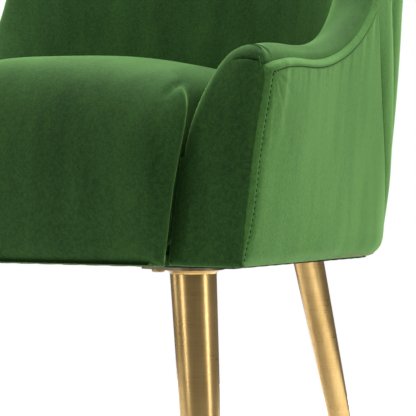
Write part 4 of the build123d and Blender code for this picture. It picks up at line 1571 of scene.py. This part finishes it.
# ------------------------------------------------------------------ seat
@dataclass
class Seat:
    """Tight crowned seat that rolls over the front rail and runs down to its lower edge."""

    shop: Workshop
    form: ShellForm
    front: float = -0.330
    foot_back: float = 0.0088
    rear: float = 0.272
    deck: float = 0.381
    rail_face: float = -0.293
    crown_drop: float = 0.030
    edge_radius: float = 0.022
    gap: float = 0.0012
    proud: float = 0.0066
    pinch: float = 0.0034
    crease: tuple[tuple[float, float, float, float], ...] = (
        (0.2400, -0.2780, 0.4500, 0.0010), (0.2385, -0.2930, 0.4440, 0.0050),
        (0.2350, -0.3080, 0.4310, 0.0058), (0.2345, -0.3180, 0.4130, 0.0046),
        (0.2350, -0.3220, 0.3920, 0.0026), (0.2355, -0.3230, 0.3600, 0.0),
    )
    crease_width: float = 0.0034
    crease_middle: Triple = (0.230, -0.300, 0.42)
    crease_reach: float = 0.12

    def outline(self, steps: int) -> Array:
        """Side view of the seen surface, from the front's lower edge over to the rear.

        Args:
            steps: Number of points.

        Returns:
            Rows of (y, z).
        """
        knots = (
            (0.0400, 0.0002), (self.foot_back + 0.006, 0.0), (self.foot_back - 0.0005, 0.006),
            (0.0030, 0.045), (0.0, 0.095), (0.0042, 0.137), (0.0215, 0.173), (0.0560, 0.1945),
            (0.1150, 0.2022), (0.1900, 0.2032), (0.3400, 0.2000), (self.rear - self.front, 0.1870),
        )
        points = tuple((self.front + y, self.form.underside + z) for y, z in knots)
        dense = Glide(points, (-1.0, 0.0), (1.0, -0.12)).table(4000)
        span = travelled(dense)
        stops = np.concatenate([
            np.linspace(0, 0.05, 12)[:-1],
            np.linspace(0.05, 0.36, 78)[:-1],
            np.linspace(0.36, span[-1], steps - 88),
        ])
        return along_line(stops, span, dense)

    def half_width(self, y: Array, z: Array) -> Array:
        """Half width of the seat: it fills the space between the arms and swells before them."""
        form = self.form
        inset_arm = form.arm_thickness + self.gap
        inset_back = form.back_thickness + self.gap
        centre, radius, turn = form.plan(z, inset_arm, inset_back)
        tangent_y = centre + radius * np.sin(turn)
        line = (radius - (y - centre) * np.sin(turn)) / np.cos(turn)
        arc = np.sqrt(np.clip(radius**2 - (y - centre) ** 2, 1e-6, None))
        before = y - form.front_y(z)
        ahead = ease(-0.001, -0.014, before)
        pinch = self.pinch * bell(before + 0.005, 0.0065) * ease(0.440, 0.345, z)
        return np.where(y < tangent_y, line, arc) + self.proud * ahead - pinch

    def grids(self) -> tuple[Array, Array]:
        """Seen and hidden grids, row by row from the front's lower edge to the rear."""
        rows, flat_columns, bend, cheek = 230, 101, 16, 24
        low = self.form.underside
        line = self.outline(rows)
        along = np.gradient(line, axis=0)
        along /= np.linalg.norm(along, axis=1, keepdims=True)
        normal = np.stack([-along[:, 1], along[:, 0]], -1)
        top = edged(flat_columns // 2 + 1, 0.3, start=False)
        angle = np.linspace(0, math.pi / 2, bend + 1)[1:]
        fall = np.linspace(0, 1, cheek + 1)[1:]
        width = self.half_width(line[:, 0], line[:, 1])
        above = line[:, 1] - low
        foot = ease(0.0, 0.016, above)
        radius = mix(0.0120, self.edge_radius, ease(0.30, 0.46, line[:, 1])) * foot + 0.0016
        deep = mix(0.010, 0.054, ease(0.002, 0.013, above))
        columns = []
        for share in top:
            columns.append((share * (width - radius), line))
        for a in angle:
            point = line - normal * (radius * (1 - math.cos(a)))[:, None]
            round_x = radius * (1 - math.sin(a))
            columns.append((self.half_width(point[:, 0], point[:, 1]) - round_x, point))
        for t in fall:
            point = line - normal * (radius + t * np.maximum(deep - radius, 0.0008))[:, None]
            columns.append((self.half_width(point[:, 0], point[:, 1]), point))
        half = np.zeros((rows, len(columns), 3))
        for j, (x, point) in enumerate(columns):
            half[:, j, 0] = x
            half[:, j, 1:] = point
        plan = np.clip(np.abs(half[..., 0]) / 0.240, 0, 1.03)
        upper = ease(low + 0.04, low + 0.19, half[..., 2])
        half[..., 2] -= self.crown_drop * plan**2.2 * upper
        half[..., 2] = np.maximum(half[..., 2], low)
        outer = np.concatenate([mirrored(half[:, :0:-1]), half], 1)
        outer = self.tucked(self.worn(outer))
        core_y = np.clip(line[:, 0] + 0.010, self.rail_face, None)
        core_z = np.clip(line[:, 1] - 0.040, low + 0.0016, self.deck)
        foot_y = np.clip(line[:, 0] + 0.003, None, self.rail_face + 0.008)
        core_y = np.where(above < 0.02, foot_y, core_y)
        tight = (half[:, len(top):, 0].min(1) - 0.002)[:, None]
        across = np.clip(outer[..., 0], -tight, tight)
        core = (np.broadcast_to(values[:, None], across.shape) for values in (core_y, core_z))
        hidden = np.stack([across, *core], -1)
        return outer, hidden

    def tucked(self, surface: Array) -> Array:
        """The crease where the cover is drawn in beside each arm and down its front corner."""
        line = np.array(self.crease)
        span = travelled(line[:, :3])
        dense = along_line(np.linspace(0, span[-1], 90), span, line)
        right = surface.reshape(-1, 3).copy()
        right[:, 0] = np.abs(right[:, 0])
        away = np.linalg.norm(right - np.array(self.crease_middle), axis=1)
        close = np.where(away < self.crease_reach)[0]
        gap = np.linalg.norm(right[close][:, None] - dense[None, :, :3], axis=2)
        best = np.argmin(gap, 1)
        depth = dense[best, 3] * bell(np.min(gap, 1), self.crease_width)
        outward = np.cross(np.gradient(surface, axis=1), np.gradient(surface, axis=0))
        outward = outward.reshape(-1, 3)[close]
        outward /= np.linalg.norm(outward, axis=1, keepdims=True) + 1e-12
        moved = surface.reshape(-1, 3).copy()
        moved[close] -= outward * depth[:, None]
        return moved.reshape(surface.shape)

    def worn(self, surface: Array) -> Array:
        """The small hollows and pulls of a used cover."""
        uneven = Ripple(22, (0.11, 0.13, 0.13)).at(surface) * 0.0009
        surface = surface.copy()
        high = ease(0.30, 0.47, surface[..., 2])
        surface[..., 2] += uneven * high
        surface[..., 1] += uneven * (1 - high) * 0.6
        return surface

    def build(self) -> None:
        """Make the seat."""
        outer, inner = self.grids()
        thing = closed_pad("seat_upholstery", outer, inner)
        nodes = ("seat_cover", "seat_crown_foam", "seat_base_foam", "seat_front_foam")
        self.shop.deliver(thing, "velvet", nodes, fill=0.92)


# ------------------------------------------------------------------ underside
@dataclass
class Underside:
    """Dust cover stretched under the seat, its edge folded in, and the staples that hold it."""

    shop: Workshop
    form: ShellForm
    top: float = 0.2898
    thickness: float = 0.0005
    fold: float = 0.0005
    hem: float = 0.012
    grid: float = 0.0060
    sag: float = 0.0010
    staple_inset: float = 0.024
    staple_setback: float = 0.0075
    staple_pitch: float = 0.0280
    staple_length: float = 0.0110
    staple_marks: int = 400
    edge: Optional[Array] = None

    def loops(self) -> list[Array]:
        """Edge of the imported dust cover, as closed rings of points in x and y."""
        work = bmesh.new()
        work.from_mesh(self.shop.nodes["dust_cover"].data)
        bmesh.ops.remove_doubles(work, verts=work.verts, dist=1e-6)
        work.normal_update()
        work.verts.index_update()
        work.faces.index_update()
        under = {face.index: face for face in work.faces if face.normal.z < -0.9}
        following: dict[int, int] = {}
        place = {vertex.index: vertex.co.copy() for vertex in work.verts}
        for face in under.values():
            for loop in face.loops:
                if sum(other.index in under for other in loop.edge.link_faces) == 1:
                    following[loop.vert.index] = loop.link_loop_next.vert.index
        rings = []
        while following:
            start = next(iter(following))
            ring = [start]
            here = following.pop(start)
            while here != start and here in following:
                ring.append(here)
                here = following.pop(here)
            rings.append(np.array([(place[i].x, place[i].y) for i in ring]))
        work.free()
        return sorted(rings, key=len, reverse=True)

    @staticmethod
    def refined(ring: Array, pitch: float) -> Array:
        """The ring with points no further apart than a pitch."""
        points = []
        for a, b in zip(ring, np.roll(ring, -1, axis=0)):
            count = max(1, int(math.ceil(np.linalg.norm(b - a) / pitch)))
            points.extend(a + (b - a) * i / count for i in range(count))
        return np.array(points)

    @staticmethod
    def within(points: Array, ring: Array) -> Array:
        """Whether each point lies inside the ring."""
        x, y = points[:, 0][:, None], points[:, 1][:, None]
        a, b = ring[None], np.roll(ring, -1, axis=0)[None]
        span = (a[..., 1] > y) != (b[..., 1] > y)
        level = b[..., 1] == a[..., 1]
        slope = (b[..., 0] - a[..., 0]) / np.where(level, 1.0, b[..., 1] - a[..., 1])
        cross = x < a[..., 0] + slope * (y - a[..., 1])
        return np.sum(span & cross, 1) % 2 == 1

    def staple_line(self, side: Side) -> tuple[Array, Array]:
        """Line of the staples on one side and the outward direction along it."""
        form = self.form
        centre, radius, turn = form.plan(form.underside, self.staple_inset, self.staple_inset)
        front = np.min(self.edge[:, 1]) + self.staple_setback
        start_x = (radius - (front - centre) * math.sin(turn)) / math.cos(turn)
        tangent = (radius * math.cos(turn), centre + radius * math.sin(turn))
        corner = np.array([(0.0, front), (start_x, front), tangent])
        sweep = np.linspace(turn, math.pi / 2, 120)[1:]
        arc = np.stack([radius * np.cos(sweep), centre + radius * np.sin(sweep)], -1)
        line = np.concatenate([corner, arc])
        span = travelled(line)
        count = int(span[-1] / self.staple_pitch)
        share = np.linspace(0.5, count - 0.5, self.staple_marks) / count * span[-1]
        flat = along_line(share, span, line)
        level = np.full(len(flat), self.top - self.thickness - self.fold)
        points = np.concatenate([flat, level[:, None]], 1)
        outward = np.tile([0.0, 0.0, -1.0], (len(points), 1))
        return (points, outward) if side is Side.RIGHT else (mirrored(points), outward)

    @staticmethod
    def gaps(points: Array, marks: Array) -> Array:
        """Distance from each point to the nearest mark."""
        return np.array([np.min(np.hypot(*(marks - p).T)) for p in points])

    def inside(self, points: Array, rings: Sequence[Array]) -> Array:
        """Whether each point lies inside the first ring and outside the others."""
        keep = self.within(points, rings[0])
        for hole in rings[1:]:
            keep &= ~self.within(points, hole)
        return keep

    def triangles(self, rings: Sequence[Array]) -> tuple[Array, Array]:
        """The cloth's flat points and faces, fitted to its edges."""
        low, high = rings[0].min(0), rings[0].max(0)
        axes = [np.arange(low[k] + self.grid / 2, high[k], self.grid) for k in (0, 1)]
        middle = np.stack(np.meshgrid(*axes), -1).reshape(-1, 2)
        rim = np.concatenate(rings)
        clear = self.gaps(middle, rim) > self.grid * 0.45
        flat = np.concatenate([rim, middle[self.inside(middle, rings) & clear]])
        edges, first = [], 0
        for ring in rings:
            edges += [(first + i, first + (i + 1) % len(ring)) for i in range(len(ring))]
            first += len(ring)
        made = delaunay_2d_cdt([Vector(p) for p in flat], edges, [], 0, 1e-7)
        points = np.array([tuple(p) for p in made[0]])
        faces = np.array([tuple(f) for f in made[2]])
        faces = faces[self.inside(points[faces].mean(1), rings)]
        used = np.unique(faces)
        return points[used], np.searchsorted(used, faces)

    def staples_at(self) -> Array:
        """Where the staples of both sides pull on the cloth."""
        line = self.staple_line(Side.RIGHT)[0][:, :2]
        length = np.sum(np.linalg.norm(np.diff(line, axis=0), axis=1))
        count = int(round(length / self.staple_pitch)) + 1
        held = line[np.linspace(0, self.staple_marks - 1, count).astype(int)]
        return np.concatenate([held, held * np.array([-1.0, 1.0])])

    def heights(self, points: Array, rim: Array) -> tuple[Array, Array]:
        """Lower and upper face of the cloth: its hem, its sag and the pull of the staples."""
        gap = self.gaps(points, rim)
        near = self.gaps(points, self.staples_at())
        place = np.concatenate([points, np.zeros((len(points), 1))], 1)
        uneven = Ripple(41, (0.07, 0.09, 0.1)).at(place) * ease(0.012, 0.05, gap)
        sag = self.sag * ease(0.004, 0.170, gap) + 0.0006 * uneven
        pucker = 0.0005 * ease(0.003, 0.013, near) * ease(0.045, 0.006, gap)
        folded = self.fold * ease(self.hem + 0.0012, self.hem, gap)
        folded += 0.0004 * bell(gap - self.hem, 0.0011)
        lower = self.top - self.thickness - folded - sag - pucker
        upper = np.minimum(lower + self.thickness + folded, self.top)
        return lower, np.where(gap < self.hem, self.top, upper)

    def sheet(self) -> Thing:
        """The cloth: tight, sagging a little, and puckered between its staples."""
        plain = self.loops()
        self.edge = plain[0]
        rings = [self.refined(ring, self.grid) for ring in plain]
        points, faces = self.triangles(rings)
        lower, upper = self.heights(points, np.concatenate(rings))
        count = len(points)
        body = np.concatenate([np.column_stack([points, z]) for z in (lower, upper)])
        under = faces[:, ::-1].tolist()
        sides = dict.fromkeys(pair for a, b, c in under for pair in ((a, b), (b, c), (c, a)))
        walls = [(b, a, a + count, b + count) for a, b in sides if (b, a) not in sides]
        thing = new_object("dust_cover_cloth", body, under + (faces + count).tolist() + walls)
        self.shop.deliver(thing, "cambric", ("dust_cover",))
        self.declare(points[faces], rings)
        return thing

    def declare(self, corners: Array, rings: Sequence[Array]) -> None:
        """Log how large the cloth was cut, hem and all.

        Args:
            corners: Corners of its flat triangles.
            rings: Its edge and the edges of its holes.
        """
        wide, long = (float(v) for v in rings[0].max(0) - rings[0].min(0) + 2 * self.hem)
        spread = np.cross(corners[:, 1] - corners[:, 0], corners[:, 2] - corners[:, 0])
        around = sum(float(travelled(np.concatenate([r, r[:1]]))[-1]) for r in rings)
        area = 0.5 * float(np.sum(np.abs(spread))) + around * self.hem
        area = min(area, 0.98 * wide * long)
        LOG.info("dust cover cut %.3f x %.3f m, %.4f m2", wide, long, area)

    def staple(self) -> Thing:
        """One staple: a flat wire crown whose ends turn into the cloth."""
        half, wide, thick = self.staple_length / 2, 0.0006, 0.0003
        rise, leg, bend = 0.00035, 0.0016, 0.0004
        left = [(-half, -leg), (-half, 0.0), (-half + bend, rise)]
        spine = left + [(-x, z) for x, z in left[::-1]]
        points = []
        for index, (x, z) in enumerate(spine):
            before, after = spine[max(index - 1, 0)], spine[min(index + 1, len(spine) - 1)]
            along = np.array([after[0] - before[0], after[1] - before[1]])
            along /= np.linalg.norm(along)
            for y, off in ((-wide, -thick), (wide, -thick), (wide, thick), (-wide, thick)):
                points.append((x - along[1] * off, y, z + along[0] * off))
        faces = hoops(len(spine), 4)
        faces += [(0, 1, 2, 3), tuple((len(spine) - 1) * 4 + j for j in range(4))]
        return new_object("staple", np.array(points), faces, smooth=False)

    def build(self) -> None:
        """Make the dust cover and its staples."""
        self.sheet()
        lines, ups = zip(*(self.staple_line(side) for side in Side))
        row = Row("dust_cover_wire_staples", self.staple_pitch * 0.995, lift=0.0002)
        thing = row.lay(self.staple(), lines, ups, self.shop.finishes.made["staple_wire"])
        self.shop.deliver(thing, "staple_wire", ("dust_cover_staples",))


# ------------------------------------------------------------------ legs
@dataclass(frozen=True)
class LegPlace:
    """Where one pair of legs stands and how it splays."""

    word: str
    top: Pair
    splay: Pair

    def axis(self, height: float, plate_bottom: float) -> Vector:
        """Point of the right-hand leg's axis."""
        drop = plate_bottom - height
        x, y = (top + splay * drop for top, splay in zip(self.top, self.splay))
        return Vector((x, y, height))


@dataclass
class Legs:
    """Tapered golden tubes with a weld that flares against each mounting plate."""

    shop: Workshop
    plate_bottom: float = 0.2855
    glide_height: float = 0.0045
    top_radius: float = 0.0205
    foot_radius: float = 0.0140
    weld: float = 0.0034
    places: tuple[LegPlace, ...] = (
        LegPlace("front", (0.2237, -0.2524), (0.085, -0.04)),
        LegPlace("rear", (0.0980, 0.2066), (0.08, 0.27)),
    )

    def tube(self, place: LegPlace, side: Side) -> Thing:
        """One leg, cut level at its top and foot, with the weld flaring at the plate."""
        steps = 128
        span = self.plate_bottom - self.glide_height
        heights = np.concatenate([
            np.linspace(self.glide_height, self.glide_height + 0.0016, 5),
            np.linspace(self.glide_height + 0.004, self.plate_bottom - 0.006, 40),
            np.linspace(self.plate_bottom - 0.0045, self.plate_bottom, 12),
        ])
        angle = np.linspace(0, 2 * math.pi, steps, endpoint=False)
        rings = []
        for z in heights:
            share = (z - self.glide_height) / span
            radius = mix(self.foot_radius, self.top_radius, share)
            radius -= 0.0008 * (1 - min((z - self.glide_height) / 0.0012, 1.0)) ** 2
            flare = np.clip((z - (self.plate_bottom - self.weld)) / self.weld, 0, 1)
            bead = 1 + 0.06 * np.cos(angle * 23) * flare
            spread = radius + self.weld * 0.9 * flare**1.6 * bead
            axis = place.axis(z, self.plate_bottom)
            x, y = axis.x + spread * np.cos(angle), axis.y + spread * np.sin(angle)
            rings.append(np.stack([x, y, np.full(steps, z)], -1))
        poles = [[tuple(place.axis(z, self.plate_bottom))] for z in (heights[0], heights[-1])]
        points = np.concatenate(rings + poles)
        faces = hoops(len(heights), steps)
        last = (len(heights) - 1) * steps
        for j in range(steps):
            k = (j + 1) % steps
            faces.append((k, j, len(points) - 2))
            faces.append((last + j, last + k, len(points) - 1))
        if side is Side.LEFT:
            points = mirrored(points)
        thing = new_object(f"{place.word}_leg_tube_{side.word}", points, faces)
        return self.shop.deliver(thing, "gilt_steel", (f"{place.word}_leg_{side.word}",))

    def build(self) -> None:
        """Make the four tubes."""
        for place in self.places:
            for side in Side:
                self.tube(place, side)


# ------------------------------------------------------------------ inside pieces that stay
@dataclass
class Carcass:
    """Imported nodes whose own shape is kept, each with its finish."""

    shop: Workshop

    def build(self) -> None:
        """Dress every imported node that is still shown."""
        for name, thing in self.shop.nodes.items():
            if not thing.hide_render:
                slot = self.shop.slots[name]
                self.shop.finishes.dress(thing, slot)
                LOG.info("%s keeps its shape, finished as %s", name, slot)


# ------------------------------------------------------------------ studio
@dataclass
class Studio:
    """Plain pale floor, soft lights and the camera."""

    camera_place: Triple = (0.7092, -0.9762, 0.321)
    camera_azimuth: float = 33.0
    camera_pitch: float = 1.2
    camera_lens: float = 86.54
    fill: float = 0.20

    def floor(self) -> None:
        """A pale floor."""
        half = 0.78
        corners = ((-1, -1, 0), (1, -1, 0), (1, 1, 0), (-1, 1, 0))
        points = np.array(corners, float) * half
        thing = new_object("studio_floor", points, [(0, 1, 2, 3)], smooth=False)
        shop = Shop("floor_paint")
        patch = shop.noise(shop.place(), 3.0, 2.0)
        colour = shop.blend(patch, (0.92, 0.92, 0.92), (0.95, 0.95, 0.95))
        glow = {"Emission Color": (1.0, 1.0, 1.0), "Emission Strength": 0.12}
        shop.finish({"Specular IOR Level": 0.1, **glow}, Base_Color=colour, Roughness=0.9)
        thing.data.materials.append(shop.material)

    @staticmethod
    def lamp(name: str, place: tuple, aim: tuple, size: tuple, power: float) -> None:
        """One soft rectangular lamp."""
        data = bpy.data.lights.new(name, "AREA")
        data.shape = "RECTANGLE"
        data.size, data.size_y = size
        data.energy = power
        thing = linked(name, data)
        thing.location = place
        thing.rotation_euler = (Vector(aim) - Vector(place)).to_track_quat("-Z", "Y").to_euler()

    def air(self) -> None:
        """Surroundings that look white and light the chair gently."""
        world = bpy.data.worlds.new("studio_air")
        world.use_nodes = True
        tree = world.node_tree
        tree.nodes.clear()
        output = tree.nodes.new("ShaderNodeOutputWorld")
        mixed = tree.nodes.new("ShaderNodeMixShader")
        path = tree.nodes.new("ShaderNodeLightPath")
        tree.links.new(path.outputs["Is Camera Ray"], mixed.inputs[0])
        for index, strength in ((1, self.fill), (2, 1.0)):
            air = tree.nodes.new("ShaderNodeBackground")
            air.inputs[0].default_value = (1.0, 1.0, 1.0, 1.0)
            air.inputs[1].default_value = strength
            tree.links.new(air.outputs[0], mixed.inputs[index])
        tree.links.new(mixed.outputs[0], output.inputs[0])
        bpy.context.scene.world = world

    def lights(self) -> None:
        """Soft lamps above, beside and behind, and a strip at each side for the legs."""
        self.lamp("top_lamp", (0.1, 0.15, 2.6), (0, 0, 0.4), (2.4, 2.4), 118)
        self.lamp("side_lamp", (1.80, 1.20, 1.75), (0.2, 0, 0.50), (1.2, 1.2), 36)
        self.lamp("left_lamp", (-1.9, -0.9, 0.9), (0, -0.2, 0.3), (0.5, 1.8), 9)
        self.lamp("back_lamp", (-0.6, 2.4, 1.3), (0, 0, 0.5), (1.8, 1.6), 18)
        self.lamp("right_strip", (2.12, -0.13, 0.45), (0.22, -0.25, 0.2), (0.24, 1.0), 6)
        self.lamp("left_strip", (-0.62, -1.95, 0.45), (0.22, -0.25, 0.2), (0.24, 1.0), 5)

    def camera(self) -> None:
        """Camera that looks at the right front corner."""
        data = bpy.data.cameras.new("camera")
        data.lens = self.camera_lens
        data.sensor_width = 36.0
        data.clip_start = 0.02
        thing = linked("camera", data)
        azimuth, pitch = math.radians(self.camera_azimuth), math.radians(self.camera_pitch)
        level = math.cos(pitch)
        ahead = Vector((-math.sin(azimuth) * level, math.cos(azimuth) * level, math.sin(pitch)))
        thing.location = self.camera_place
        thing.rotation_euler = ahead.to_track_quat("-Z", "Y").to_euler()
        bpy.context.scene.camera = thing

    def build(self) -> None:
        """Set the studio up."""
        self.floor()
        self.air()
        self.lights()
        self.camera()
        bpy.context.scene.view_settings.view_transform = "Standard"


def main() -> None:
    """Build the chair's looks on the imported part."""
    logging.basicConfig(level=logging.INFO, format="%(name)s: %(message)s")
    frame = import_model()
    slots = {item["node"]: item["material_slot"] for item in frame["record"]["subparts"]}
    shop = Workshop(Finishes().build(), frame["nodes"], slots)
    form = ShellForm()
    OutsideVelvet(shop, form).build()
    roll = Roll(form)
    ArmFronts(shop, form, roll).build()
    InsideUpholstery(shop, form, roll).build()
    Seat(shop, form).build()
    Underside(shop, form).build()
    Legs(shop).build()
    Carcass(shop).build()
    Studio().build()


if __name__ == "__main__":
    main()
